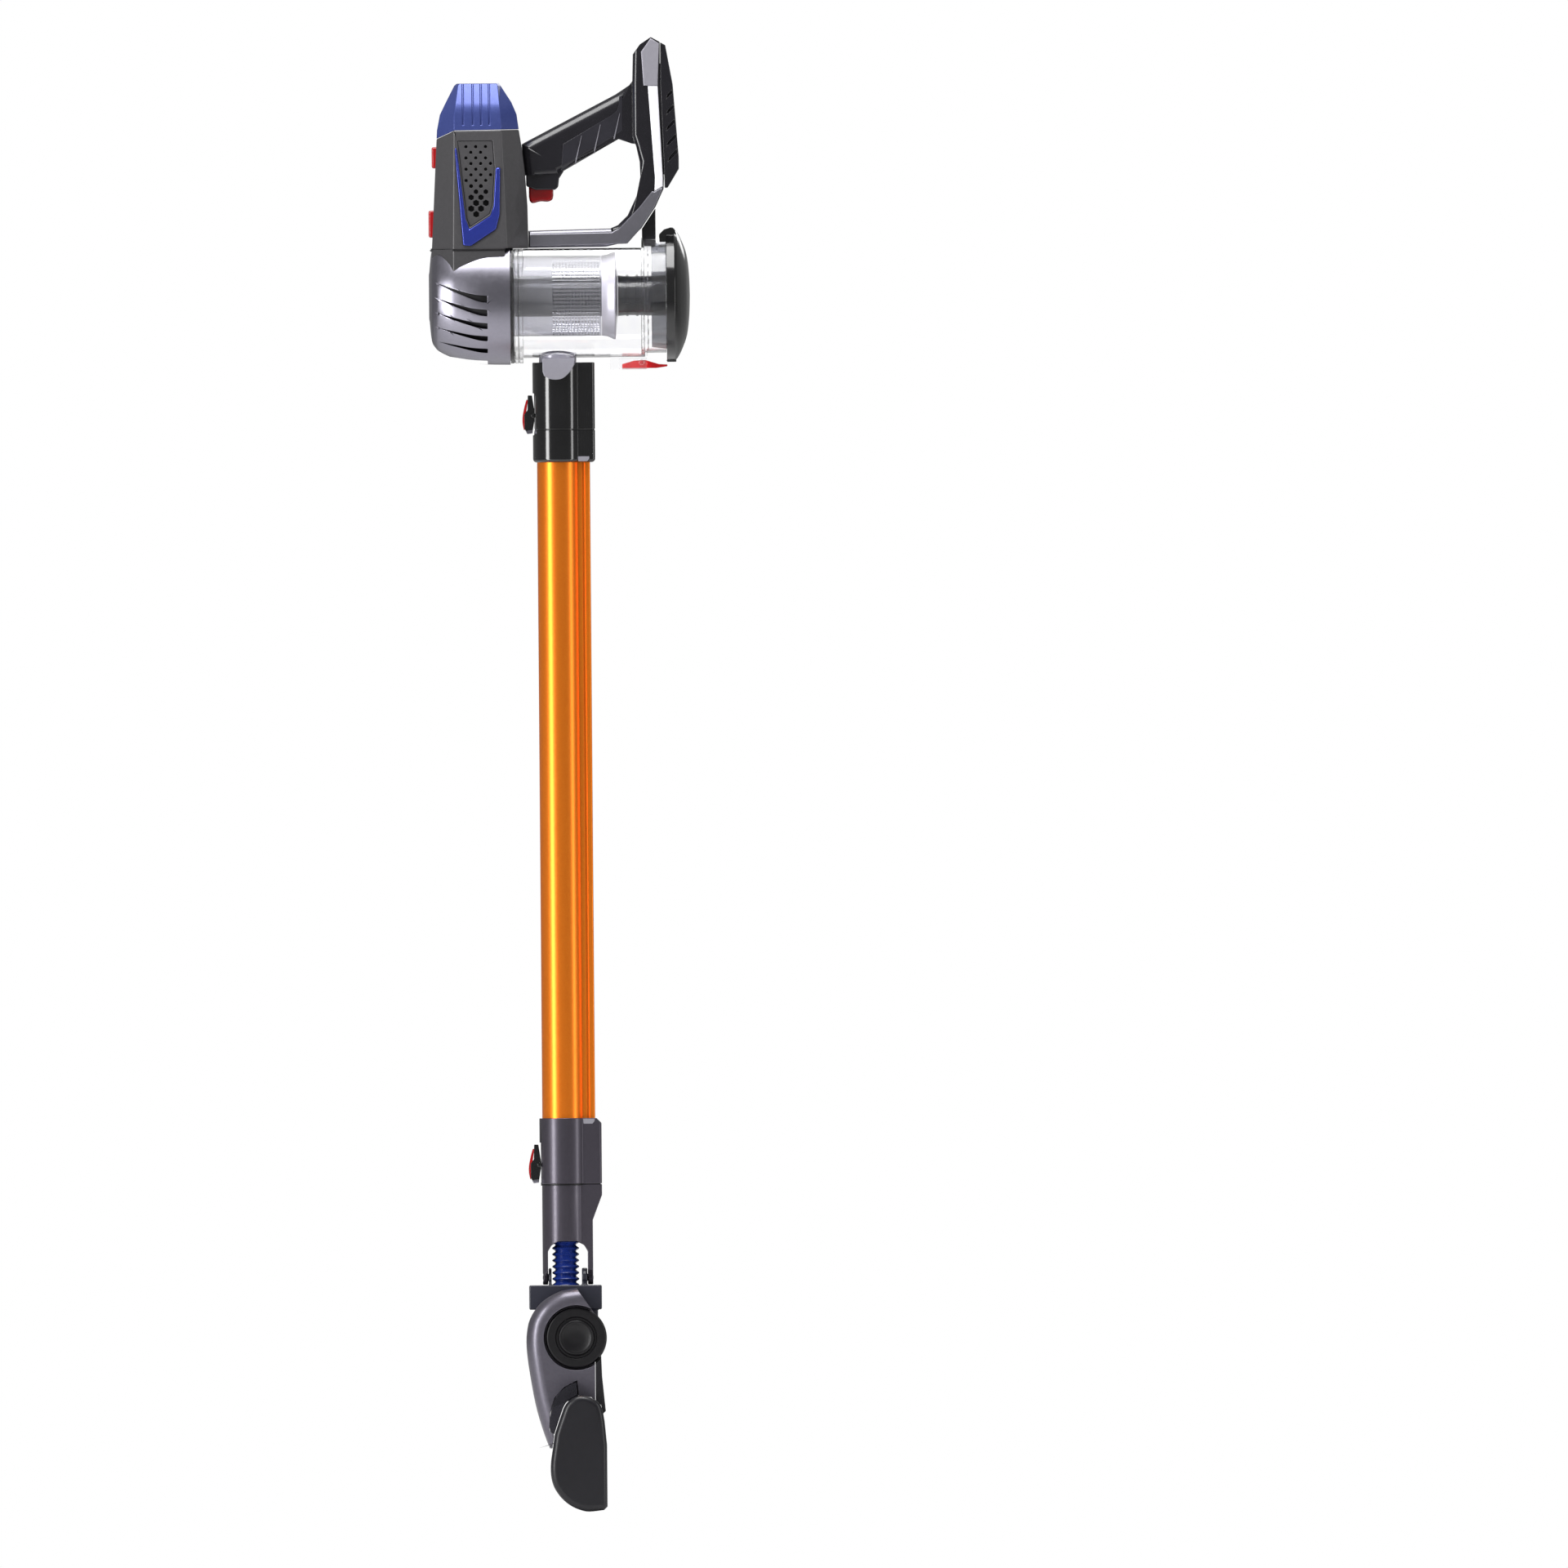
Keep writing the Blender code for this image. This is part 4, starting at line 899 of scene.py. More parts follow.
# Frosted grey polycarbonate of the screen: milky, so the dark tube inside shows as a soft band
FROSTED = ClearPlastic("frosted_polycarbonate", "#d8d8dd", "#dcdce1", 0.05, 0.955)
# Dark navy ABS of the dust and vortex tubes: almost black, with a blue sheen
NAVY = Moulded("navy_abs", "#08090f", "#0b0c15", 0.2, 2.4, 0.001, 0.2)
# Pale grey ABS of the inlet shield, the flare, the handle's crown and the key marks: silky light grey
PALE_GREY = FlakePaint("pale_grey_abs", "#96949d", "#98969f", 0.34, 2.2, 0.35, 0.3)
# Orange anodised aluminium of the wand: blasted, drawn along its length, with a bright yellow streak
ANODISED = Metal("orange_anodised_aluminium", "#f27d1c", "#f48420", 0.32, 1.5, (1, 1, 0.02), 0.002, 0.72)
# Turned steel of the pins, axle, motors and spring: bright grey with a blurred shine
STEEL = Metal("turned_steel", "#9a9a9c", "#b4b4b6", 0.28, 0.8, (1, 1, 1), 0.01)
# Moulded rubber of the wheels, and the black of the sheets behind the vents and inside the drum, which are
# painted shade: soft black, greyer where it catches light
RUBBER_AND_SHADE = Moulded("rubber_and_painted_shade", "#0b0a0d", "#0f0e11", 0.38, 2.4, 0.003, 0.0, 0.0, 1.4)
# Soft-touch rubber of the grip's pad: charcoal, a tone lighter and duller than the shell round it
SOFT_RUBBER = Moulded("soft_touch_rubber", "#1d1c22", "#222128", 0.34, 2.4, 0.002, 0.15)
# Raised piping of the grip: smooth violet grey as a painted highlight, for the thin pale line that light
# draws along the ridges
RIDGE_HIGHLIGHT_GREY = Moulded("ridge_painted_highlight", "#6a6870", "#76747c", 0.25, 1.5, 0.004, 0.3)
# Blue thermoplastic elastomer of the bellows: deep blue with a silky shine
BELLOWS_BLUE = Moulded("blue_elastomer", "#152a74", "#1b3386", 0.28, 1.3, 0.008, 0.3)
# Off-white needled felt of the two filters: matt and fibrous
FILTER_FELT = Felt("needled_felt", "#c9c6bd", "#e2dfd7")
# Blue nylon pile of the brush roll's rows: a soft matt blue
ROLL_PILE = Felt("brush_pile", "#22357e", "#30469a", 1.0)
# Black nylon of the brush roll's bristles: satin, in two close tones
BRISTLE = Moulded("black_nylon", "#151517", "#26262a", 0.4, 1.0, 0.01)
# Green solder resist of the control board and the cells' wrap: dark green with a soft shine
GREEN = Moulded("green_solder_resist", "#1c4a2c", "#275a38", 0.35, 2.2, 0.03)


@dataclass
class Workshop:
    """Puts finished pieces into the model."""

    count: int = 0

    def settle(self, piece: Piece, body: str, finish: Finish,
               nodes: Sequence[str] = (), angle: float = 35) -> Piece:
        """Shades a piece, dresses it and lets it ride on a body.

        Args:
            piece: The finished shape.
            body: The body that it moves with.
            finish: Its finish.
            nodes: CAD nodes that it replaces.
            angle: Angle in degrees past which an edge stays sharp.

        Returns:
            The piece.
        """
        hold(piece)
        bpy.ops.object.shade_smooth_by_angle(angle=math.radians(angle))
        weights = piece.modifiers.new("even_faces", "WEIGHTED_NORMAL")
        weights.keep_sharp = True
        apply_last(piece)
        piece.data.materials.clear()
        piece.data.materials.append(finish.made())
        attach(piece, body)
        if nodes:
            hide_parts(*nodes)
        self.count += 1
        LOG.info("%s rides on %s, in %s", piece.name, body, finish.name)
        return piece

    def dress(self, finish: Finish, *nodes: str) -> None:
        """Gives CAD nodes that stay a finish."""
        for node in nodes:
            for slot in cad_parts[node].material_slots:
                slot.material = finish.made()
            LOG.info("%s stays, in %s", node, finish.name)


# ---------------------------------------------------------------- motor tower

DECK = span("bin_gasket")[1].z
DRUM_AXIS = sum(corner.z for corner in span("dust_tube")) / 2


def everywhere(_middle: Vector, _way: Vector) -> bool:
    """Test that every edge passes."""
    return True


@dataclass
class Tower:
    """Motor housing with its grilles, blue trims, filter cap and two red buttons."""

    edge: float = 0.9
    side_low: float = 46.0
    side_slope: float = 9.0 / 97.0
    grille_sunk: float = 0.6
    grille_thick: float = 2.0
    grille: Outline = field(default_factory=lambda: [
        (-80, 88), (-52, 88), (-50.6, 66), (-52.4, 36), (-55, 28.6), (-70.6, 18.4), (-73, 25),
    ])
    rows: int = 15
    row_pitch: float = 4.6
    hole_pitch: float = 8.0
    small_hole: float = 1.45
    large_hole: float = 2.75
    rib_stations: tuple[float, ...] = (-75.7, -67.7, -61.0, -54.3)
    rib_width: float = 1.3
    seam_drop: float = 0.6

    def side(self, height: float) -> float:
        """Y of the left side of the tower at a height over the deck."""
        return -self.side_low + self.side_slope * height

    def housing(self, shop: Workshop) -> None:
        """Two shells with a parting line over the drum."""
        for word in ("left", "right"):
            shell = casting("motor_shell_" + word, "housing_" + word)
            side = -1 if word == "left" else 1

            def outer(middle: Vector, _way: Vector) -> bool:
                return middle.x < -97 or middle.x > -30 or side * middle.y > 44

            groove(shell, Vector((0, 0, DECK - self.seam_drop)), Axis.Z, 1.0, 0.5, outer)
            soften(shell, self.edge, 3, 24)
            shop.settle(shell, "cleaner", HOUSING, ["housing_" + word])

    def holes(self) -> Piece:
        """Six-sided cutters whose size grows from the top row to the bottom row.

        The real grille has more and finer holes; they are drawn coarser, with bars that hold.
        """
        cutters = []
        for row in range(self.rows):
            share = min(max((row - 6) / 4, 0), 1)
            radius = self.small_hole + (self.large_hole - self.small_hole) * share
            z = DECK + 83.5 - self.row_pitch * row
            for column in range(-3, 4):
                x = -65.5 + self.hole_pitch * (column + 0.5 * (row % 2))
                if self.inside(x, z - DECK, radius + 0.9):
                    cutters.append(rod("vent_cutter", Axis.Y, (x, z), radius, (-60, -20), 6))
        return gathered(cutters, "vent_cutters")

    def inside(self, x: float, height: float, margin: float) -> bool:
        """True if a spot lies in the grille, clear of its edge by a margin."""
        outline = grown(self.grille, -margin)
        hit = False
        for k, (x2, z2) in enumerate(outline):
            x1, z1 = outline[k - 1]
            if (z1 > height) != (z2 > height) and x < x1 + (height - z1) * (x2 - x1) / (z2 - z1):
                hit = not hit
        return hit

    def grilles(self, shop: Workshop) -> None:
        """Honeycomb grille on each side, sunk a little into the housing."""
        corners = [
            Vector((x, self.side(z) + self.grille_sunk, DECK + z)) * MM for x, z in self.grille
        ]
        left = pulled(drawn("honeycomb_left", corners, filled=True), Vector((0, self.grille_thick * MM, 0)))
        carve(left, self.holes())
        soften(left, 0.25, 2, 40)
        right = across(left, "honeycomb_right")
        shop.settle(left, "cleaner", HOUSING, ["vent_grille_left"])
        shop.settle(right, "cleaner", HOUSING, ["vent_grille_right"])
        # Black sheet behind each grille, a painted shade that keeps the holes dark
        backing = [
            Vector((x, self.side(z) + self.grille_sunk + 4, DECK + z)) * MM
            for x, z in grown(self.grille, 1.5)
        ]
        shade_sheet = pulled(drawn("vent_shade_sheet_left", backing, filled=True), Vector((0, 1.5 * MM, 0)))
        soften(shade_sheet, 0.4, 2, 40)
        other = across(shade_sheet, "vent_shade_sheet_right")
        shop.settle(shade_sheet, "cleaner", RUBBER_AND_SHADE)
        shop.settle(other, "cleaner", RUBBER_AND_SHADE)

    def trims(self, shop: Workshop) -> None:
        """Blue trim with a wide bright chamfer."""
        for word in ("left", "right"):
            trim = casting("blue_trim_" + word, "vent_trim_" + word)
            soften(trim, 1.1, 3, 40)
            shop.settle(trim, "cleaner", TRIM_BLUE, ["vent_trim_" + word])

    def cap(self, shop: Workshop) -> None:
        """Filter cap with four grooves on each side."""
        cap = casting("ribbed_cap", "filter_cap")
        slots = []
        for x in self.rib_stations:
            for side in (-1, 1):
                profile = [(-50, 101), (-35.4, 101), (-34.4, 109.7), (-30.8, 119.5), (-22.8, 133.0),
                           (-20, 137), (-20, 142), (-50, 142)]
                outline = [(side * y, DECK + z) for y, z in profile]
                reach = (x - self.rib_width / 2, x + self.rib_width / 2)
                slots.append(slab("rib_cutter", Axis.X, reach, outline))
        carve(cap, *slots)
        soften(cap, 0.5, 3, 20)
        shop.settle(cap, "filter_cap", CAP_BLUE, ["filter_cap"])

    def buttons(self, shop: Workshop) -> None:
        """Two red buttons, each with three finger grooves."""
        for name, node in (("cap_release", "cap_button"), ("bin_release", "bin_button")):
            low, high = span(node)
            button = block(name, (low.x, high.x), (low.y, high.y), (low.z, high.z))
            round_edges(button, 1.6, 4, everywhere)
            middle = (low.z + high.z) / 2
            marks = [
                rod("finger_groove", Axis.Y, (low.x - 0.3, middle + 3 * step), 0.9, (-5, 5), 24)
                for step in (-1, 0, 1)
            ]
            carve(button, *marks)
            soften(button, 0.25, 2, 40)
            shop.settle(button, node, RED, [node])

    def build(self, shop: Workshop) -> None:
        """The whole tower."""
        self.housing(shop)
        self.grilles(shop)
        self.trims(shop)
        self.cap(shop)
        self.buttons(shop)
        shop.dress(FILTER_FELT, "exhaust_filter", "pre_filter")
        shop.dress(STEEL, "motor_can", "trigger_spring")
        shop.dress(GREEN, "control_board", "cell_pack")
        shop.dress(PALE_GREY, "impeller")


# ---------------------------------------------------------------- cyclone and bin

@dataclass
class Cyclone:
    """Silver drum with slanted slits, seal ring, frosted screen, flare, dust and vortex tubes."""

    wall: float = 2.5
    slit_pitch: float = 11.6
    slit_count: int = 6
    screen_r: float = 33.0
    hole: float = 1.7
    bar: float = 0.9
    columns: int = 15
    around: int = 64
    tube_r: float = 17.0

    def drum(self, shop: Workshop) -> None:
        """Drum turned from a smooth profile and slit by curved tapering cutters."""
        low, high = span("cyclone_drum")
        radius = (high.z - low.z) / 2 + 0.35
        bend = [(-104.2, 20), (-102.5, 36), (-99.5, 41.8), (-96, 45), (-88, 49), (-80, 51.5), (-68, 54.2),
                (-57.2, 55.6), (high.x, radius)]
        outside = [(low.x, 0), (low.x, 18)] + smooth_line(bend, 4)
        inside = [(x + self.wall * (r < 49), max(r - self.wall, 0)) for x, r in outside]
        drum = turned("silver_drum", Axis.X, (0, DRUM_AXIS), outside + inside[::-1], 128)
        slits = []
        for k in range(self.slit_count):
            top = [(-96, 10.2), (-84, 6.2), (-70, 2.0), (-57, 0.4)]
            low_side = [(-57, -5.4), (-64, -4.2), (-74, -0.4), (-86, 4.8)]
            drop = self.slit_pitch * k
            flat = 1 - 0.1 * k
            outline = smooth_line(top, 4) + smooth_line(low_side, 4)
            outline = [(x, DRUM_AXIS + z * flat - drop * (1 - 0.018 * k)) for x, z in outline]
            slits.append(slab("slit_cutter", Axis.Y, (-70, 70), outline))
        carve(drum, *slits)
        port = rod("port_cutter", Axis.Z, (-62.5, 0), 16, (DRUM_AXIS, DECK + 40))
        carve(drum, port)
        soften(drum, 0.35, 2, 40)
        shop.settle(drum, "cleaner", DRUM_SILVER, ["cyclone_drum"], 40)
        # Black shell inside the drum, a painted shade that shows dark through the slits
        liner = [(x + 1.2, max(r - 3.2, 0)) for x, r in outside[1:] if x > -103]
        inner = [(x + 1.2, r - 1.2) for x, r in liner]
        shade_sheet = turned("drum_shade_liner", Axis.X, (0, DRUM_AXIS), liner + inner[::-1] + liner[:1], 64)
        shop.settle(shade_sheet, "cleaner", RUBBER_AND_SHADE)

    def ring(self, shop: Workshop) -> None:
        """Clear seal ring with a line round it."""
        low, high = span("bin_gasket")
        radius, flat = high.y, high.z - DRUM_AXIS
        ring = slab("seal_ring", Axis.X, (low.x, high.x), flat_round(radius, flat, DRUM_AXIS, 120))
        carve(ring, slab("ring_cutter", Axis.X, (low.x - 5, high.x + 5),
                         flat_round(radius - 8.5, flat - 4, DRUM_AXIS, 96)))

        def outside(middle: Vector, _way: Vector) -> bool:
            return math.hypot(middle.y, middle.z - DRUM_AXIS) > radius - 1 and middle.z < DECK - 0.5

        for x in (low.x + 3.2, low.x + 6.6):
            groove(ring, Vector((x, 0, 0)), Axis.X, 0.9, 0.7, outside)
        soften(ring, 0.4, 2, 40)
        shop.settle(ring, "cleaner", CLEAR, ["bin_gasket"])
        plate = casting("separator", "separator_plate")
        shop.settle(plate, "cleaner", GLOSS_BLACK, ["separator_plate"])

    def screen(self, shop: Workshop) -> None:
        """Frosted screen whose square holes are cells left out of a net.

        The real holes are finer and closer; they are drawn coarser, so that each one stays open.
        """
        low, high = span("mesh_screen")
        pitch = self.hole + self.bar
        first = high.x - pitch * self.columns - 0.8
        clear_desk()
        bpy.ops.mesh.primitive_circle_add(
            vertices=2 * self.around, radius=self.screen_r * MM, fill_type="NOTHING",
            location=Vector((low.x, 0, DRUM_AXIS)) * MM, rotation=(0, math.pi / 2, 0),
        )
        screen = started("frosted_screen")
        steps = [first - low.x]
        for _ in range(self.columns):
            steps += [self.hole, self.bar]
        steps.append(high.x - low.x - sum(steps))
        edit(screen)
        for step in steps:
            bpy.ops.mesh.extrude_region_move(TRANSFORM_OT_translate={"value": (step * MM, 0, 0)})
        close()
        half = math.pi / self.around

        def is_hole(middle: Vector, _facing: Vector) -> bool:
            column = (middle.x - first) / pitch
            turn = math.atan2(middle.z - DRUM_AXIS, middle.y) + 2 * math.pi
            in_band = 0 < column < self.columns and column % 1 < self.hole / pitch
            return in_band and int(turn / half) % 2 == 0

        pick(screen, Pick.FACES, is_hole)
        bpy.ops.mesh.delete(type="FACE")
        bpy.ops.mesh.select_all(action="SELECT")
        bpy.ops.mesh.normals_make_consistent(inside=False)
        close()
        wall = screen.modifiers.new("wall", "SOLIDIFY")
        wall.thickness = 1.2 * MM
        wall.offset = -1
        apply_last(screen)
        shop.settle(screen, "cleaner", FROSTED, ["mesh_screen"])

    def core(self, shop: Workshop) -> None:
        """Flare, dust tube and the dark vortex tube inside the screen."""
        near = span("cyclone_cone")[0].x
        far = span("cyclone_cone")[1].x
        outer = smooth_line([(near, 33), (near + 4, 33.4), (near + 8, 35), (near + 10.6, 36)], 4)
        profile = outer + [(near + 11.4, 35.4), (far - 0.2, self.tube_r + 0.8), (far, self.tube_r),
                           (far, self.tube_r - 2), (near + 9.6, self.tube_r - 2), (near + 9, 30),
                           (near + 7, 32.6), (near, 31.4), (near, 33)]
        flare = turned("flare", Axis.X, (0, DRUM_AXIS), profile, 128)
        soften(flare, 0.3, 2, 40)
        shop.settle(flare, "cleaner", PALE_GREY, ["cyclone_cone"])
        low, high = span("dust_tube")
        radius = self.tube_r
        rings = [(low.x, radius - 2), (low.x, radius)]
        for x in (56.5, 58.5, 64.5, 66.5):
            sunk = 0.7 if x in (58.5, 66.5) else 0
            rings += [(x - 0.4, radius - 0.7 + sunk), (x, radius - sunk)]
        rings += [(high.x, radius), (high.x, radius - 2), (low.x, radius - 2)]
        tube = turned("dust_pipe", Axis.X, (0, DRUM_AXIS), rings, 96)
        shop.settle(tube, "cleaner", NAVY, ["dust_tube"])
        low, high = span("vortex_tube")
        pipe = turned("vortex_pipe", Axis.X, (0, DRUM_AXIS), [
            (low.x, radius - 2), (low.x, radius), (high.x, radius), (high.x, radius - 2), (low.x, radius - 2),
        ], 96)
        soften(pipe, 0.4, 2, 40)
        shop.settle(pipe, "cleaner", NAVY, ["vortex_tube"])

    def build(self, shop: Workshop) -> None:
        """The whole cyclone."""
        self.drum(shop)
        self.ring(shop)
        self.screen(shop)
        self.core(shop)


@dataclass
class Bin:
    """Clear bin with its latch, inlet shield, hinge and domed door."""

    radius: float = 50.5
    wall: float = 2.2
    end_r: float = 47.0
    end_length: float = 20.0
    lug_near: float = 12.4
    lug_width: float = 5.6
    spigot_r: float = 15.2
    latch_slot: float = 5.8
    latch_arm: float = 21.0

    def bowl(self, shop: Workshop) -> None:
        """Clear bowl with a flat top, a round end and the latch's cheeks."""
        low = span("dust_bin")[0]
        flat = DECK - DRUM_AXIS
        right = span("dust_tube")[1].x + 0.3
        step = right - self.end_length
        pivot = Vector((span("bin_latch")[1].x - self.latch_arm, 0, DRUM_AXIS - self.radius - 4.2))
        bowl = slab("clear_bowl", Axis.X, (low.x, step + 2), flat_round(self.radius, flat, DRUM_AXIS, 120))
        weld(bowl, rod("end", Axis.X, (0, DRUM_AXIS), self.end_r, (step, right), 120))
        weld(bowl, block("cheek", (43, pivot.x + 4.4), (-8.2, 8.2), (pivot.z - 5.7, pivot.z + 9)))
        inner = self.radius - self.wall
        end_inner = self.end_r - self.wall
        carve(
            bowl,
            slab("hollow", Axis.X, (low.x - 5, step - 0.2), flat_round(inner, flat - self.wall, DRUM_AXIS)),
            slab("hollow", Axis.X, (step - 4, step + 5), flat_round(end_inner, flat - self.wall, DRUM_AXIS)),
            rod("hollow", Axis.X, (0, DRUM_AXIS), end_inner, (step + 2, right + 12), 96),
            block("slot", (50, pivot.x + 8), (-self.latch_slot, self.latch_slot),
                  (pivot.z - 8, pivot.z + 3.2)),
            rod("bore", Axis.Y, (pivot.x, pivot.z), 2.0, (-7.4, 7.4), 24),
            rod("inlet", Axis.Z, (0, 0), self.spigot_r + 0.3, (935, DRUM_AXIS - 30), 48),
        )
        soften(bowl, 0.45, 2, 40)
        shop.settle(bowl, "bin", CLEAR, ["dust_bin"], 30)

    def inlet(self, shop: Workshop) -> None:
        """Inlet neck with a rounded shield on each side."""
        low, high = span("inlet_neck")
        seat = DRUM_AXIS - self.radius - 0.3
        collar_top = span("wand_collar")[1].z
        neck = rod("inlet_spigot", Axis.Z, (0, 0), self.spigot_r, (low.z, high.z), 64)
        weld(neck, block("flange", (-12.4, 14.3), (low.y, high.y), (collar_top + 0.4, seat)))
        tongue = [(-12.4, seat), (-12.4, collar_top - 7)]
        tongue += smooth_line([(-11.2, collar_top - 10.8), (-6.5, collar_top - 13.4), (-1, collar_top - 14),
                               (4.6, collar_top - 12.6), (10.2, collar_top - 7.4), (13.4, collar_top - 2)], 4)
        tongue += [(14.3, collar_top + 3), (14.3, seat)]
        left = slab("shield", Axis.Y, (low.y, low.y + 2), tongue)
        weld(neck, left, slab("shield", Axis.Y, (high.y - 2, high.y), tongue))
        carve(neck, rod("bore", Axis.Z, (0, 0), self.spigot_r - 2, (low.z - 5, high.z + 9), 48))
        soften(neck, 0.5, 3, 40)
        shop.settle(neck, "bin", PALE_GREY, ["inlet_neck"])

    def lugs(self, shop: Workshop) -> None:
        """Black hinge block on top of the bin's end."""
        x, z = centre_xz("door_hinge_pin")
        outline = [(x - 10, DRUM_AXIS + 43), (x - 10, z - 2.5), (x - 6, z + 1.5), (x - 1, z + 3)]
        outline += arc((x, z), 3, 80, -60, 6) + [(x + 2, z - 5), (x - 4, DRUM_AXIS + 43)]
        pieces = []
        for side in (-1, 1):
            reach = on_side(side, self.lug_near, self.lug_near + self.lug_width)
            pieces.append(slab("lug", Axis.Y, reach, outline))
        hinge = gathered(pieces, "hinge_block")
        soften(hinge, 0.5, 2, 40)
        shop.settle(hinge, "bin", GLOSS_BLACK)
        shop.dress(STEEL, "door_hinge_pin")

    def door(self, shop: Workshop) -> None:
        """Domed black door with its knuckle and catch, and a smoked skirt."""
        low, high = span("bin_door")
        face = span("dust_tube")[1].x + 0.6
        rim = face + 6.7
        radius = 53.5
        dome = smooth_line([(rim + 2, radius - 2), (rim + 5.5, radius - 8.5), (rim + 9.8, 33),
                            (rim + 11.8, 17), (high.x, 0)], 5)
        profile = [(face, 44), (face, radius), (rim, radius)] + dome + [
            (high.x - 3, 0), (rim + 8.4, 17), (rim + 6, 33), (rim + 1, 42), (face, 42), (face, 44),
        ]
        door = turned("door_dome", Axis.X, (0, DRUM_AXIS), profile, 128)
        x, z = centre_xz("door_hinge_pin")
        for side in (-1, 1):
            carve(door, block("gap", (face - 4, x + 3.6), on_side(side, 12, 18.4),
                              (DRUM_AXIS + radius - 14, z + 9)))
        weld(door, rod("knuckle", Axis.Y, (x, z), 3.2, (-11.9, 11.9), 32))
        weld(door, block("catch", (face, face + 7.6), (-6, 6),
                         (DRUM_AXIS - radius - 1.2, DRUM_AXIS - radius + 4)))
        carve(door, rod("bore", Axis.Y, (x, z), 1.8, (-40, 40), 24))
        soften(door, 0.5, 2, 40)
        shop.settle(door, "bin_door", GLOSS_BLACK, ["bin_door"])
        skirt_r = self.end_r - self.wall - 0.8
        skirt = turned("door_skirt", Axis.X, (0, DRUM_AXIS), [
            (face + 0.6, skirt_r), (low.x, skirt_r - 1.4), (low.x, skirt_r - 3), (face + 0.6, skirt_r - 2),
            (face + 0.6, skirt_r),
        ], 128)
        soften(skirt, 0.3, 2, 40)
        shop.settle(skirt, "bin_door", SMOKED)

    def latch(self, shop: Workshop) -> None:
        """Red lever under the bin."""
        lever = casting("bin_lever", "bin_latch")
        soften(lever, 0.5, 2, 40)
        shop.settle(lever, "bin_latch", RED, ["bin_latch"])

    def build(self, shop: Workshop) -> None:
        """The whole bin."""
        self.bowl(shop)
        self.inlet(shop)
        self.lugs(shop)
        self.door(shop)
        self.latch(shop)


# ---------------------------------------------------------------- handle

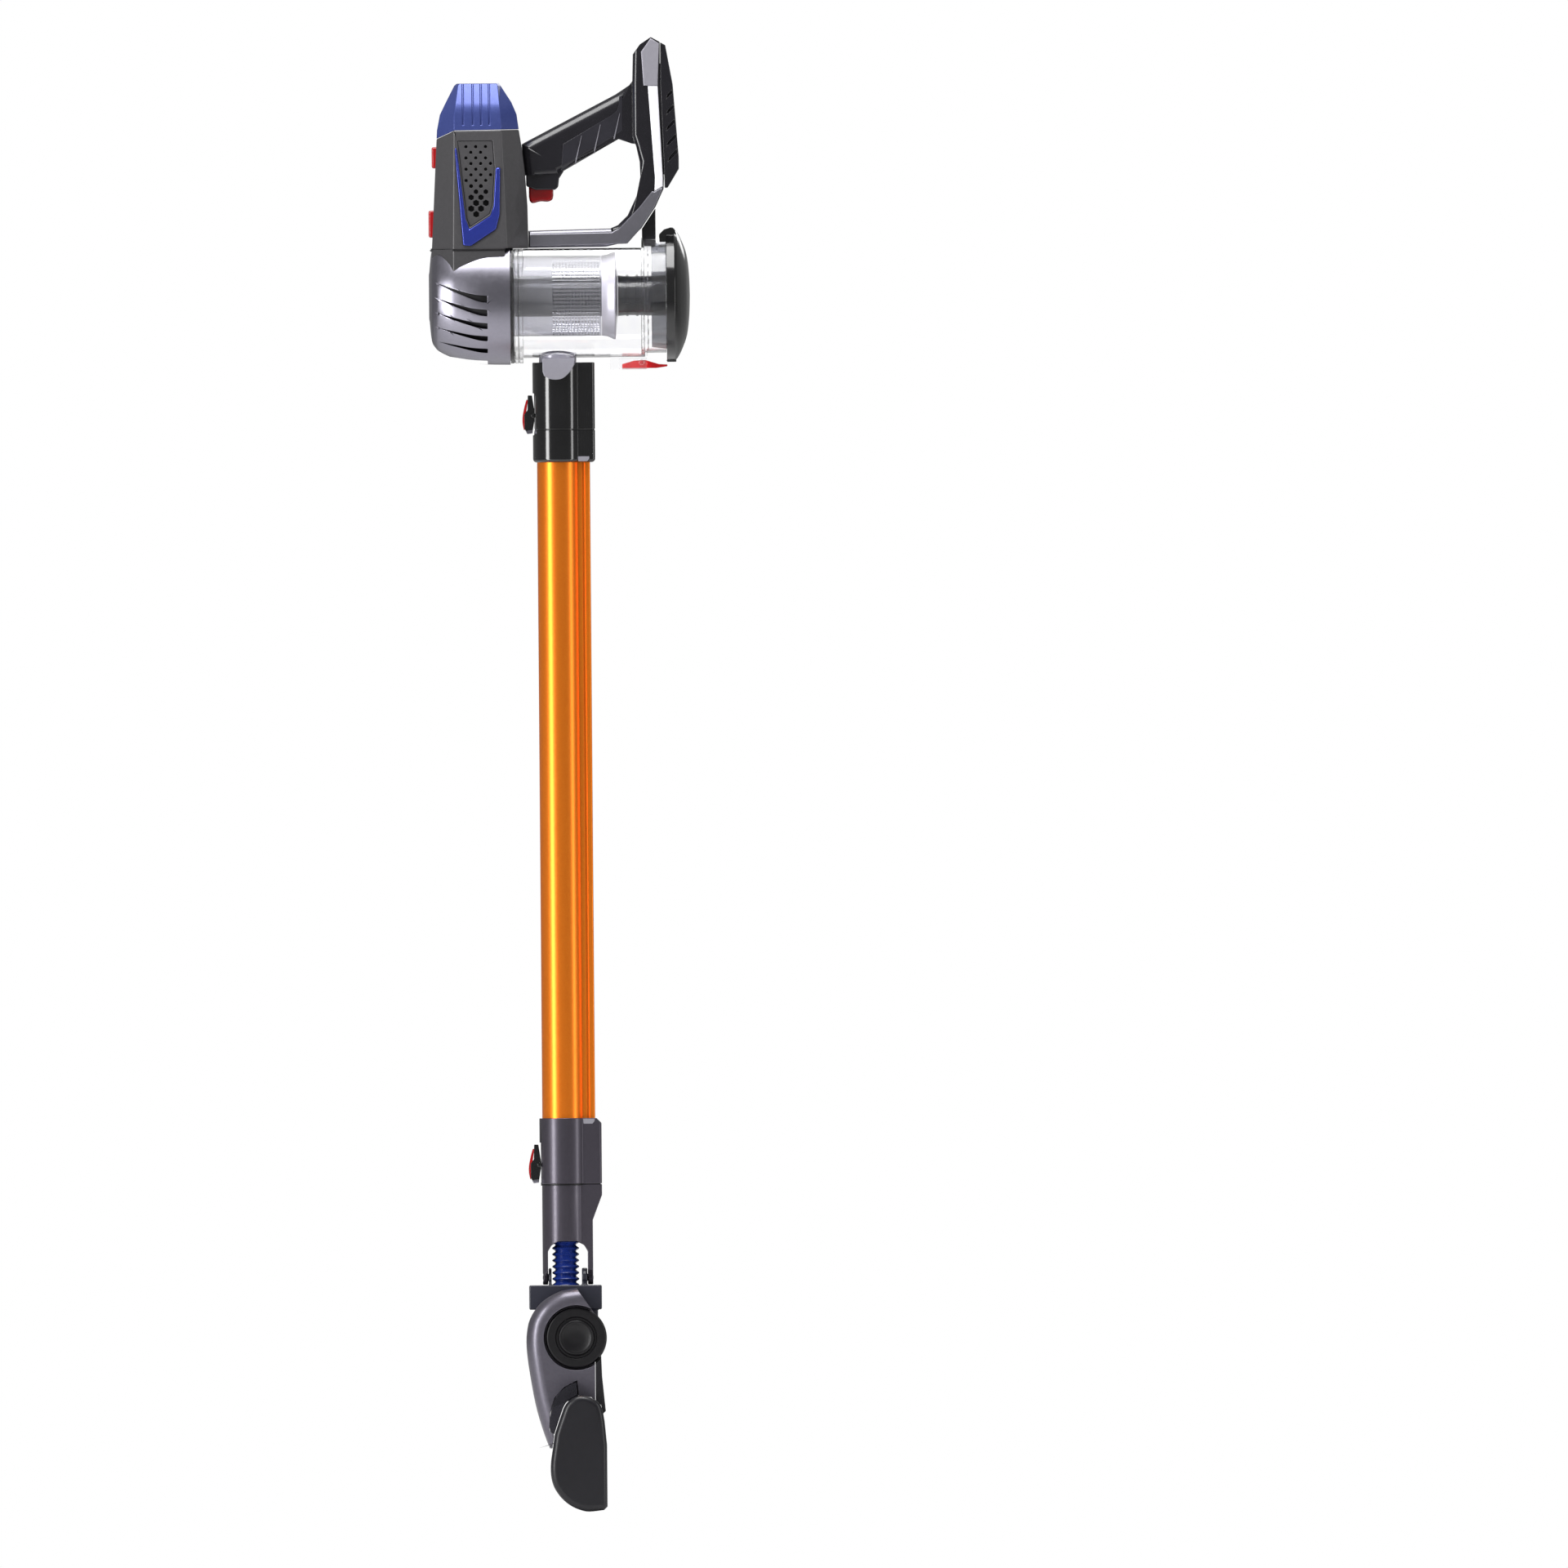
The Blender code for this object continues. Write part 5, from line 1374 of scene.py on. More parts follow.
@dataclass
class Handle:
    """Closed loop handle: rounded grip, column, bar, silver strip, rubber pad, trigger and strut."""

    column: Outline = field(default_factory=lambda: [
        (62.6, 132), (63.3, 157.9), (69, 165.9), (78.1, 172), (85.4, 168), (85.2, 133.3), (88, 56.7),
        (87.6, 47.9), (80.9, 33.3), (69.2, 15.9), (57.8, 4.9), (47, 2.6), (44, 16.1), (50, 18.6),
        (58, 26.4), (65.4, 41.9), (68.7, 57.9), (68.2, 70.3), (65.5, 82.6), (62.6, 92),
    ])
    grip: Outline = field(default_factory=lambda: [
        (-28, 85.3), (-24.9, 86.9), (48.8, 125.2), (60, 132.6), (66, 140), (74, 140), (74, 84), (62, 85),
        (51.1, 88.8), (1.5, 60.5), (-26, 59.6),
    ])
    bar: Outline = field(default_factory=lambda: [
        (-23, 0.5), (-23, 14.6), (46, 16.1), (56, 16.1), (57.6, 4.9), (40, 1),
    ])
    pad: Outline = field(default_factory=lambda: [
        (4.2, 62), (5.8, 85.1), (45.2, 108.2), (50, 112), (51.6, 117), (51.9, 123.5), (54.6, 124.4),
        (54.2, 91.5), (50.4, 88.6),
    ])
    crown: Outline = field(default_factory=lambda: [
        (70, 160), (77.9, 171), (84.8, 166.8), (83.4, 132.3), (71.8, 132.3),
    ])
    run: Outline = field(default_factory=lambda: [
        (75.3, 132), (83.4, 132), (87, 57), (87, 50), (80.2, 46), (80.6, 57),
    ])
    bend: Outline = field(default_factory=lambda: [
        (80.1, 45.7), (87, 49.6), (86.6, 47.4), (80.3, 33.5), (68.8, 15.8), (57.6, 3.4), (-22, 1.6),
        (-22, 11.8), (45, 12.8), (51.5, 16.4), (67.5, 33), (78, 46),
    ])
    ridge_feet: tuple[float, ...] = (16.1, 31.5, 47.4)
    grip_half: float = 15.0
    column_half: float = 21.0
    bar_half: float = 18.0
    pocket: tuple[float, float, float] = (73.6, 59.6, 150.4)
    shell: float = 2.5
    loop_round: float = 4.5

    def shells(self, shop: Workshop) -> None:
        """One moulding look over both handle shells."""
        grip = slab("handle_shell", Axis.Y, (-self.grip_half, self.grip_half), lifted(self.grip, DECK))
        round_edges(grip, 9, 8, lambda middle, run: abs(middle.y) > self.grip_half - 0.1
                    and middle.x < 58 and middle.z - DECK > 84 + 0.5 * middle.x)
        round_edges(grip, 5.5, 5, lambda middle, run: abs(middle.y) > self.grip_half - 0.1
                    and middle.x < 50 and middle.z - DECK < 66 + 0.5 * middle.x)
        column = slab("column", Axis.Y, (-self.column_half, self.column_half), lifted(self.column, DECK))
        round_edges(column, self.loop_round, 5, lambda middle, run: abs(middle.y) > 20.9
                    and middle.x < 69 and middle.z < DECK + 160 and not self.on_strip_side(middle))
        weld(grip, column)
        room = self.column_half - self.shell
        left, low, high = self.pocket
        carve(grip, block("pocket", (left, 110), (-room, room), (DECK + low, DECK + high)))
        soften(grip, 0.6, 2, 35)
        shop.settle(grip, "cleaner", HANDLE_BLACK, ["handle_left", "handle_right"], 40)

    def low_bar(self, shop: Workshop) -> None:
        """Pewter bar under the hand, with rounded edges."""
        bar = slab("pewter_bar", Axis.Y, (-self.bar_half, self.bar_half), lifted(self.bar, DECK))
        round_edges(bar, 4.0, 5, lambda middle, run: abs(middle.y) > self.bar_half - 0.1)
        shop.settle(bar, "cleaner", PEWTER, (), 40)

    def on_strip_side(self, middle: Vector) -> bool:
        """True for the column's outer edges, which the silver strip and the battery cover."""
        height = middle.z - DECK
        return middle.x > 55 + 0.2 * height and height < 60 or middle.x > 70

    def rubber(self, shop: Workshop) -> None:
        """Rubber pad let into the lower half of the grip, with three raised ridges."""
        half = self.grip_half + 0.35
        pad = slab("grip_overmould", Axis.Y, (-half, half), lifted(self.pad, DECK))
        round_edges(pad, 5.6, 5, lambda middle, run: abs(middle.y) > half - 0.1
                    and middle.z - DECK < 61 + 0.57 * middle.x and middle.x > 3)
        soften(pad, 0.3, 2, 40)
        lean = Vector((0.226, 0.974))
        ridges = []
        for foot in self.ridge_feet:
            base = Vector((foot, 63.4 + 0.571 * (foot - 3.5)))
            tip = base + lean * 22
            side = Vector((lean.y, -lean.x)) * 0.6
            base -= lean * 2.2
            corners = (base - side, tip - side * 0.4, tip + side * 0.4, base + side)
            outline = [(corner.x, corner.y) for corner in corners]
            ridge = slab("ridge", Axis.Y, (-half - 0.6, half + 0.6), lifted(outline, DECK))
            brow = DECK + 64 + 0.6 * (foot - 3.5)
            round_edges(ridge, 5.5, 4, lambda middle, run: abs(middle.y) > half and middle.z < brow
                        and abs(run.y) < 0.1 and abs(run.z) < 0.6)
            ridges.append(ridge)
        shop.settle(pad, "cleaner", SOFT_RUBBER, ["grip_pad"], 40)
        # The ridges' grey is a painted highlight
        fins = gathered(ridges, "grip_ridges")
        soften(fins, 0.25, 2, 50)
        shop.settle(fins, "cleaner", RIDGE_HIGHLIGHT_GREY)

    def strips(self, shop: Workshop) -> None:
        """Silver strip on each side: grey crown, run down the column painted white as a painted highlight,
        pewter bend.
        """
        near, far = span("handle_trim_right")[0].y, span("handle_trim_right")[1].y
        shades = (
            (self.crown, PALE_GREY, "crown"), (self.run, STRIP_WHITE_HIGHLIGHT, "run"), (self.bend, PEWTER, "bend"),
        )
        # The run's white is a painted highlight
        for outline, finish, word in shades:
            inner = self.bar_half - 0.5 if word == "bend" else near
            right = slab("strip_" + word + "_b", Axis.Y, (inner, far), lifted(outline, DECK))
            round_edges(right, 0.9, 3, lambda middle, run: middle.y > far - 0.1)
            left = across(right, "strip_" + word + "_a")
            nodes = ["handle_trim_left", "handle_trim_right"] if word == "run" else []
            shop.settle(left, "cleaner", finish, nodes, 30)
            shop.settle(right, "cleaner", finish, (), 30)

    def controls(self, shop: Workshop) -> None:
        """Trigger, its housing and the strut behind the bin."""
        case = slab("trigger_case", Axis.Y, (-12, 12), lifted([
            (-24.6, 61), (-24.6, 51), (-17, 47.8), (-1, 47.8), (1.6, 50), (2.4, 57), (6, 62.6), (6, 66),
        ], DECK))
        carve(case, block("blade_room", (-30, -1.4), (-6.9, 6.9), (DECK + 40, DECK + 57)))
        soften(case, 1.2, 4, 35)
        shop.settle(case, "cleaner", HANDLE_BLACK, ["trigger_housing"])
        low, high = span("trigger")
        outline = [(low.x, high.z - 0.2), (low.x, low.z + 5.4)]
        outline += smooth_line([(low.x + 0.6, low.z + 2.2), (low.x + 3, low.z + 0.2), (-13, low.z + 1.6),
                                (-7, low.z + 1.4), (-3.4, low.z + 3), (high.x, low.z + 6.4)], 4)
        outline += [(high.x, high.z - 0.8)]
        blade = slab("red_trigger", Axis.Y, (-6.5, 6.5), outline)
        round_edges(blade, 1.8, 4, lambda middle, run: abs(middle.y) > 6.4 and middle.z < high.z - 4)
        carve(blade, rod("spring_seat", Axis.Z, (-7.5, 0), 3.2, (high.z - 3, high.z + 5), 32))
        weld(blade, rod("pin", Axis.Y, (-18.2, DECK + 50.4), 1.6, (low.y, high.y), 24))
        shop.settle(blade, "trigger", RED, ["trigger"])
        low, high = span("rear_strut")
        strut = slab("strut", Axis.Y, (low.y, high.y), [
            (low.x, DECK + 1), (high.x, DECK + 1), (high.x, high.z), (low.x, high.z - 16.8),
        ])
        soften(strut, 0.8, 3, 40)
        shop.settle(strut, "cleaner", HANDLE_BLACK, ["rear_strut"])

    def build(self, shop: Workshop) -> None:
        """The whole handle."""
        self.shells(shop)
        self.low_bar(shop)
        self.rubber(shop)
        self.strips(shop)
        self.controls(shop)


@dataclass
class Battery:
    """Battery case with five slanted finger ribs on each side."""

    rib_heights: tuple[float, ...] = (125.0, 112.0, 99.0, 86.0, 73.6)
    rib_depth: float = 2.2
    rib_reach: float = 40.0

    def build(self, shop: Workshop) -> None:
        """The case; its cells stay inside."""
        case = casting("battery_shell", "battery_case")
        high = span("battery_case")[1]
        cutters = []
        for height in self.rib_heights:
            for side in (-1, 1):
                reach = on_side(side, high.y - self.rib_depth, self.rib_reach)
                start = 90.6 if height > 74 else 91.6
                outline = [(start, height - 3.2), (start + 7, height + 3.6), (104, height + 9.4),
                           (104, height + 13.2), (start + 0.6, height - 0.6)]
                cutters.append(slab("rib_cutter", Axis.Y, reach, lifted(outline, DECK)))
        carve(case, *cutters)
        soften(case, 0.7, 3, 25)
        shop.settle(case, "battery", HANDLE_BLACK, ["battery_case"])


# ---------------------------------------------------------------- wand

PIVOT_RISE = 14.8


def latch_window(node: str) -> Piece:
    """Cutter that leaves room in a collar for the rocker latch of a node."""
    low, high = span(node)
    x, z = high.x - 1.6, low.z + PIVOT_RISE
    return block("window", (x - 9, x + 6.2), (-6.9, 6.9), (z - 16, z + 18))


@dataclass
class RockerLatch:
    """Rocking latch on a collar: dark body, silver foot and a red strip for the thumb.

    It belongs to the wand's collar and to the neck's socket.
    """

    node: str
    name: str
    half: float = 6.5

    def build(self, shop: Workshop) -> None:
        """Body, strip and foot."""
        low = span(self.node)[0]
        body = casting(self.name + "_body", self.node)
        soften(body, 0.5, 2, 35)
        shop.settle(body, self.node, GLOSS_BLACK, [self.node])
        x, z = low.x, low.z + PIVOT_RISE
        outline = smooth_line([(x - 0.4, z - 12), (x - 1.5, z - 6), (x - 1.3, z), (x + 0.2, z + 7.4),
                               (x + 1.8, z + 13)], 4)
        outline += smooth_line([(x + 3.2, z + 13), (x + 2, z + 5), (x + 1.2, z - 1), (x + 1.2, z - 11)], 3)
        strip = slab(self.name + "_strip", Axis.Y, (-self.half + 0.7, self.half - 0.7), outline)
        soften(strip, 0.4, 2, 40)
        shop.settle(strip, self.node, RED)
        foot = slab(self.name + "_foot", Axis.Y, (-self.half - 0.3, self.half + 0.3), [
            (x + 1.0, z - 12.6), (x + 2.4, z - 15.2), (x + 6.8, z - 14.6), (x + 6.6, z - 11.6),
        ])
        soften(foot, 0.5, 2, 40)
        shop.settle(foot, self.node, DRUM_SILVER)


@dataclass
class Wand:
    """Orange tube with a grooved wiring channel, and its black collar and latch."""

    tube_r: float = 17.5
    wall: float = 1.5
    channel: float = 25.7
    channel_half: float = 8.5
    collar_r: float = 20.7
    collar_half: float = 13.0
    groove_x: float = 20.4
    seam_rise: float = 26.8
    chamfer: float = 3.0

    def tube(self, shop: Workshop) -> None:
        """Extruded tube with a groove along each side of its channel."""
        low, high = span("wand_tube")
        start = math.degrees(math.asin(self.channel_half / self.tube_r))
        half, x = self.channel_half, self.groove_x
        plan = arc((0, 0), self.tube_r, start, 360 - start, 96)
        side = [(x - 1.1, -half), (x - 0.7, -half + 0.9), (x + 0.7, -half + 0.9), (x + 1.1, -half)]
        corner = arc((self.channel - 1.6, -half + 1.6), 1.6, -90, 0, 5)
        plan += side + corner + [(u, -v) for u, v in (side + corner)[::-1]]
        tube = slab("orange_tube", Axis.Z, (low.z, high.z), plan)
        room = self.channel_half - self.wall
        carve(
            tube,
            rod("bore", Axis.Z, (0, 0), self.tube_r - self.wall, (low.z - 5, high.z + 5), 64),
            block("duct", (self.tube_r + 0.5, self.channel - self.wall), (-room, room),
                  (low.z - 5, high.z + 5)),
        )
        shop.settle(tube, "wand", ANODISED, ["wand_tube"], 32)
        shop.dress(GLOSS_BLACK, "conductor_strip")

    def collar(self, shop: Workshop) -> None:
        """Gloss collar with a parting line, a round foot and the latch's window."""
        low, high = span("wand_collar")
        plan = keyhole(self.collar_r, high.x, self.collar_half, 96)
        collar = slab("gloss_collar", Axis.Z, (low.z, high.z), plan)
        round_edges(collar, 3.2, 5, lambda middle, run: abs(run.z) > 0.9 and middle.x > 25)
        round_edges(collar, self.chamfer, 5, lambda middle, run: middle.z < low.z + 0.1)
        round_edges(collar, 0.8, 3, lambda middle, run: middle.z > high.z - 0.1)
        groove(collar, Vector((0, 0, low.z + self.seam_rise)), Axis.Z, 0.9, 0.5, everywhere)
        tube_top = span("wand_tube")[1].z
        room = keyhole(self.tube_r + 0.3, self.channel + 0.3, self.channel_half + 0.3, 64)
        carve(
            collar,
            rod("bore", Axis.Z, (0, 0), 15.6, (low.z + 10, high.z + 5), 64),
            slab("seat", Axis.Z, (low.z - 5, tube_top + 0.3), room),
            latch_window("wand_latch"),
        )
        soften(collar, 0.4, 2, 45)
        shop.settle(collar, "wand", GLOSS_BLACK, ["wand_collar"], 28)

    def notches(self, shop: Workshop) -> None:
        """Pale key marks where the tube's channel enters the collar and the socket."""
        seats = (("collar_key", "wand", span("wand_collar")[0].z + 0.8, self.collar_half),
                 ("socket_key", "neck", span("neck_socket")[1].z - 4.6, self.collar_half - 0.4))
        for name, body, low, half in seats:
            near = self.channel_half + 1.0
            outline = [(16.2, low), (23.4, low), (25.2, low + 2.2), (25.2, low + 4), (15.8, low + 4)]
            pads = [slab(name, Axis.Y, on_side(side, near, half + 0.35), outline) for side in (-1, 1)]
            key = gathered(pads, name + "_marks")
            soften(key, 0.3, 2, 40)
            shop.settle(key, body, PALE_GREY)

    def build(self, shop: Workshop) -> None:
        """Tube, collar, latch and key marks."""
        self.tube(shop)
        self.collar(shop)
        RockerLatch("wand_latch", "collar_latch").build(shop)
        self.notches(shop)


# ---------------------------------------------------------------- neck

@dataclass
class Neck:
    """Socket, fork, bellows and knuckle between the wand and the floor head."""

    socket_r: float = 19.9
    socket_half: float = 12.6
    tube_r: float = 17.5
    channel: float = 25.7
    channel_half: float = 8.5
    folds: int = 8
    fold_pitch: float = 5.0
    bellows_r: float = 11.1
    bellows_depth: float = 2.6

    def socket(self, shop: Workshop) -> None:
        """Socket with a cut-back nose at its top."""
        low, high = span("neck_socket")
        plan = keyhole(self.socket_r, high.x, self.socket_half, 96)
        socket = slab("neck_collar", Axis.Z, (low.z, high.z), plan)
        round_edges(socket, 2.4, 4, lambda middle, run: abs(run.z) > 0.9 and middle.x > 25)
        carve(socket, slab("nose_cutter", Axis.Y, (-40, 40), [
            (high.x - 5, high.z + 1), (high.x + 4, high.z - 8), (high.x + 4, high.z + 1),
        ]))
        room = keyhole(self.tube_r + 0.4, self.channel + 0.4, self.channel_half + 0.4, 64)
        tube_low = span("wand_tube")[0].z
        carve(
            socket,
            rod("bore", Axis.Z, (0, 0), self.tube_r - 2.5, (low.z - 5, high.z + 5), 64),
            slab("seat", Axis.Z, (tube_low - 0.4, high.z + 5), room),
            latch_window("head_latch"),
        )
        soften(socket, 0.6, 3, 40)
        shop.settle(socket, "neck", NECK_GREY, ["neck_socket"], 28)
        RockerLatch("head_latch", "socket_latch").build(shop)

    def fork(self, shop: Workshop) -> None:
        """Fork with softened edges, and a dark seal that fills the seam under the socket."""
        fork = casting("swivel_fork", "neck_fork")
        soften(fork, 0.8, 3, 25)
        shop.settle(fork, "neck", NECK_GREY, ["neck_fork"], 40)
        seam = span("neck_socket")[0].z
        plan = keyhole(self.socket_r - 0.9, 29.7, self.socket_half - 0.9, 64)
        seal = slab("seam_seal", Axis.Z, (seam - 1.4, seam + 1.1), plan)
        carve(seal, rod("bore", Axis.Z, (0, 0), self.socket_r - 2.6, (seam - 5, seam + 5), 48))
        soften(seal, 0.2, 2, 40)
        shop.settle(seal, "neck", RUBBER_AND_SHADE)

    def bellows(self, shop: Workshop) -> None:
        """Blue bellows, taken off the neck's body."""
        low, x = span("bellows")[0], centre_xz("bellows")[0]
        count = self.folds * 8
        outer = [
            (low.z + self.fold_pitch * self.folds * k / count,
             self.bellows_r - self.bellows_depth / 2 - self.bellows_depth / 2 * math.cos(2 * math.pi * k / 8))
            for k in range(count + 1)
        ]
        inner = [(z, r - 1.4) for z, r in outer[::-1]]
        hose = turned("blue_bellows", Axis.Z, (x, 0), outer + inner + outer[:1], 64)
        shop.settle(hose, "neck", BELLOWS_BLUE, ["bellows"], 60)
        # It leaves the body that settle put it on
        hose.parent = None
        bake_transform(hose)

    def knuckle(self, shop: Workshop) -> None:
        """Knuckle with softened edges."""
        knuckle = casting("swivel_knuckle", "knuckle")
        soften(knuckle, 1.2, 3, 25)
        shop.settle(knuckle, "knuckle", KNUCKLE_GREY, ["knuckle"], 40)

    def build(self, shop: Workshop) -> None:
        """The whole neck."""
        self.socket(shop)
        self.fork(shop)
        self.bellows(shop)
        self.knuckle(shop)


# ---------------------------------------------------------------- floor head

@dataclass
class Head:
    """Floor head: cover, base, brush hood, end caps, lens, wheels and bristled roll."""

    hood: Outline = field(default_factory=lambda: [
        (-11.2, 50.7), (-12.7, 40), (-12.7, 30.1), (-10.8, 21.5), (-6.8, 14.4), (-1.8, 8.8), (4.2, 4.4),
        (11, 1.4), (18.3, 0), (30.5, 1.2), (33.3, 4), (33.3, 54), (31.4, 74.1), (28.4, 86.7),
        (20.6, 93.1), (9.6, 94.7), (0.2, 88.3), (-4.6, 77.3), (-9.4, 63.1),
    ])
    arch: Outline = field(default_factory=lambda: [
        (9.5, 182.7), (-2, 180.8), (-11.7, 176.4), (-19, 171.5), (-24.4, 165.3), (-28.4, 158.5),
        (-30.7, 151.3), (-31.9, 138.7), (-30.3, 120), (-24.9, 88.3), (-18.8, 66.3), (-13.6, 52),
    ])
    lens: Outline = field(default_factory=lambda: [
        (8.5, 106), (-1, 101), (-8.4, 93), (-12.6, 80.5), (-13.4, 66.7), (-9.8, 63.1), (-5, 77.5),
        (-0.1, 88.8), (9.5, 95.4),
    ])
    half: float = 125.0
    cap_width: float = 6.7
    rear_half: float = 72.0
    split: float = 24.0
    slot_half: float = 31.5
    barrel_r: float = 23.5
    wheel_r: float = 25.0
    wheel_inner: float = 53.0
    wheel_outer: float = 70.0
    bristle_rows: int = 4
    bristle_count: int = 46
    roll: tuple[float, float] = (12.3, 26.6)
    roll_core: float = 14.0
    roll_r: float = 20.2
    roll_twist: float = 0.7 * math.pi

    def rear(self) -> Piece:
        """Solid behind the brush, with room for the hood, the lens, the wheels and the knuckle."""
        x, z = centre_xz("wheel_left")
        outline = smooth_line(self.arch, 4) + [(0, 50), (32.5, 82), (29.7, 110), (28, z + 14), (18, z + 28)]
        rear = slab("rear_cover", Axis.Y, (-self.rear_half, self.rear_half), outline)
        round_edges(rear, 12, 9, lambda middle, run: abs(middle.y) > self.rear_half - 0.1
                    and (middle.x < -15 or middle.z > 160 and middle.x < 9))
        slot = self.slot_half
        cutters = [
            slab("hood_room", Axis.Y, (-130, 130), grown(self.hood, 0.3)),
            slab("lens_room", Axis.Y, (-130, 130), grown(self.lens, 0.3)),
            block("slot", (-60, 60), (-slot, slot), (z - self.barrel_r - 3, z + 60)),
            block("slot", (-60, -14), (-slot, slot), (z - 39.5, z + 60)),
            block("duct", (9.6, 40), (-14, 14), (z - 60, z)),
            rod("axle_bore", Axis.Y, (x, z), 3.5, (-80, 80), 24),
        ]
        for side in (-1, 1):
            reach = on_side(side, self.wheel_inner - 0.7, self.rear_half + 10)
            cutters.append(rod("wheel_room", Axis.Y, (x, z), self.wheel_r + 1.5, reach, 96))
        return carve(rear, *cutters)

    def covers(self, shop: Workshop) -> None:
        """Cover over the top and base under the back."""
        cover = self.rear()
        base = twin(cover, "rear_base")
        trimmed(cover, Vector((self.split, 0, 0)), Vector((1, 0, 0)))
        trimmed(base, Vector((self.split + 0.3, 0, 0)), Vector((-1, 0, 0)))
        soften(cover, 0.6, 3, 35)
        soften(base, 0.3, 3, 35)
        # The cover's lighter grey is a painted highlight
        shop.settle(cover, "head", COVER_GREY_HIGHLIGHT, ["head_cover"], 30)
        shop.settle(base, "head", HANDLE_BLACK, ["head_base"], 30)
        shop.dress(STEEL, "head_axle", "brush_motor", "motor_pulley")
        shop.dress(RUBBER_AND_SHADE, "drive_belt")

    def front(self, shop: Workshop) -> None:
        """Brush hood, end caps and the lamp's lens."""
        hood = casting("hood_shell", "brush_hood")
        soften(hood, 0.5, 2, 35)
        shop.settle(hood, "head", CHARCOAL, ["brush_hood"], 34)
        outline = smooth_line(self.hood[:10], 4) + self.hood[10:12] + smooth_line(self.hood[12:], 4)
        outline = [corner for k, corner in enumerate(outline) if corner != outline[k - 1]]
        left = slab("end_cap_a", Axis.Y, (-self.half, -self.half + self.cap_width), outline)
        round_edges(left, 5.0, 6, lambda middle, run: middle.y < -self.half + 0.1)
        carve(left, rod("bore", Axis.Y, self.roll, 3.4, (-self.half + 2.4, -100), 24))
        right = across(left, "end_cap_b")
        shop.settle(left, "head", CHARCOAL, ["end_cap_left"], 34)
        shop.settle(right, "head", CHARCOAL, ["end_cap_right"], 34)
        reach = self.half - 25
        window = smooth_line(self.lens[:6], 4) + smooth_line(self.lens[5:], 4)[1:]
        glass = slab("lamp_lens", Axis.Y, (-reach, reach), window)
        soften(glass, 0.6, 2, 40)
        shop.settle(glass, "head", LENS_BLACK, ["led_lens"], 34)

    def wheels(self, shop: Workshop) -> None:
        """Wheels with a grooved tread, a step round the hub and a dished hub."""
        centre = centre_xz("wheel_left")
        near, far = self.wheel_inner, self.wheel_outer
        profile = [(far - 1.5, 0), (far - 1.5, 3.6), (near, 3.6), (near, self.wheel_r - 1.2)]
        profile += arc((near + 1.2, self.wheel_r - 1.2), 1.2, 180, 90, 4)[1:]
        for x in (near + 5, near + 11):
            profile += [(x, self.wheel_r), (x + 0.4, self.wheel_r - 0.8), (x + 1.4, self.wheel_r - 0.8),
                        (x + 1.8, self.wheel_r)]
        profile += arc((far - 2.4, self.wheel_r - 2.4), 2.4, 90, 0, 6)
        profile += [(far, 17.4), (far - 0.5, 16.8), (far - 1.4, 16.4), (far - 1.4, 15), (far + 0.2, 14.4)]
        profile += smooth_line([(far + 0.8, 13.6), (far + 0.9, 12.4), (far + 0.1, 10.4), (far - 0.8, 7),
                                (far - 1.1, 3.4), (far - 1.1, 0)], 4)
        right = turned("tread_wheel_b", Axis.Y, centre, profile, 96)
        left = across(right, "tread_wheel_a")
        shop.settle(left, "wheel_left", RUBBER_AND_SHADE, ["wheel_left"], 34)
        shop.settle(right, "wheel_right", RUBBER_AND_SHADE, ["wheel_right"], 34)

    def brush(self, shop: Workshop) -> None:
        """Brush roll with pile rows and tufts of bristles between them."""
        low, high = span("brush_roll")
        core = casting("pile_roll", "brush_roll")
        soften(core, 0.4, 2, 35)
        shop.settle(core, "brush_roll", ROLL_PILE, ["brush_roll"], 40)
        clear_desk()
        length = self.roll_r - self.roll_core + 0.8
        bpy.ops.mesh.primitive_cone_add(
            vertices=6, radius1=1.5 * MM, radius2=0.8 * MM, depth=length * MM,
            location=(0, 0, (self.roll_r - length / 2) * MM),
        )
        tuft = started("tuft")
        edit(tuft)
        bpy.ops.mesh.subdivide(number_cuts=1)
        close()
        tufts = []
        first, last = low.y + 6, high.y - 18
        for row in range(self.bristle_rows):
            for k in range(self.bristle_count):
                share = k / (self.bristle_count - 1)
                turn = 2 * math.pi * (row + 0.5) / self.bristle_rows + self.roll_twist * share
                place = Vector((self.roll[0], first + (last - first) * share, self.roll[1])) * MM
                copy = twin(tuft, "tuft_copy")
                copy.data.transform(Matrix.Translation(place) @ Matrix.Rotation(math.pi / 2 - turn, 4, "Y"))
                tufts.append(copy)
        bpy.data.objects.remove(tuft)
        shop.settle(gathered(tufts, "bristles"), "brush_roll", BRISTLE)

    def build(self, shop: Workshop) -> None:
        """The whole head."""
        self.covers(shop)
        self.front(shop)
        self.wheels(shop)
        self.brush(shop)


MAKERS = (Tower, Cyclone, Bin, Handle, Battery, Wand, Neck, Head)


# ---------------------------------------------------------------- studio

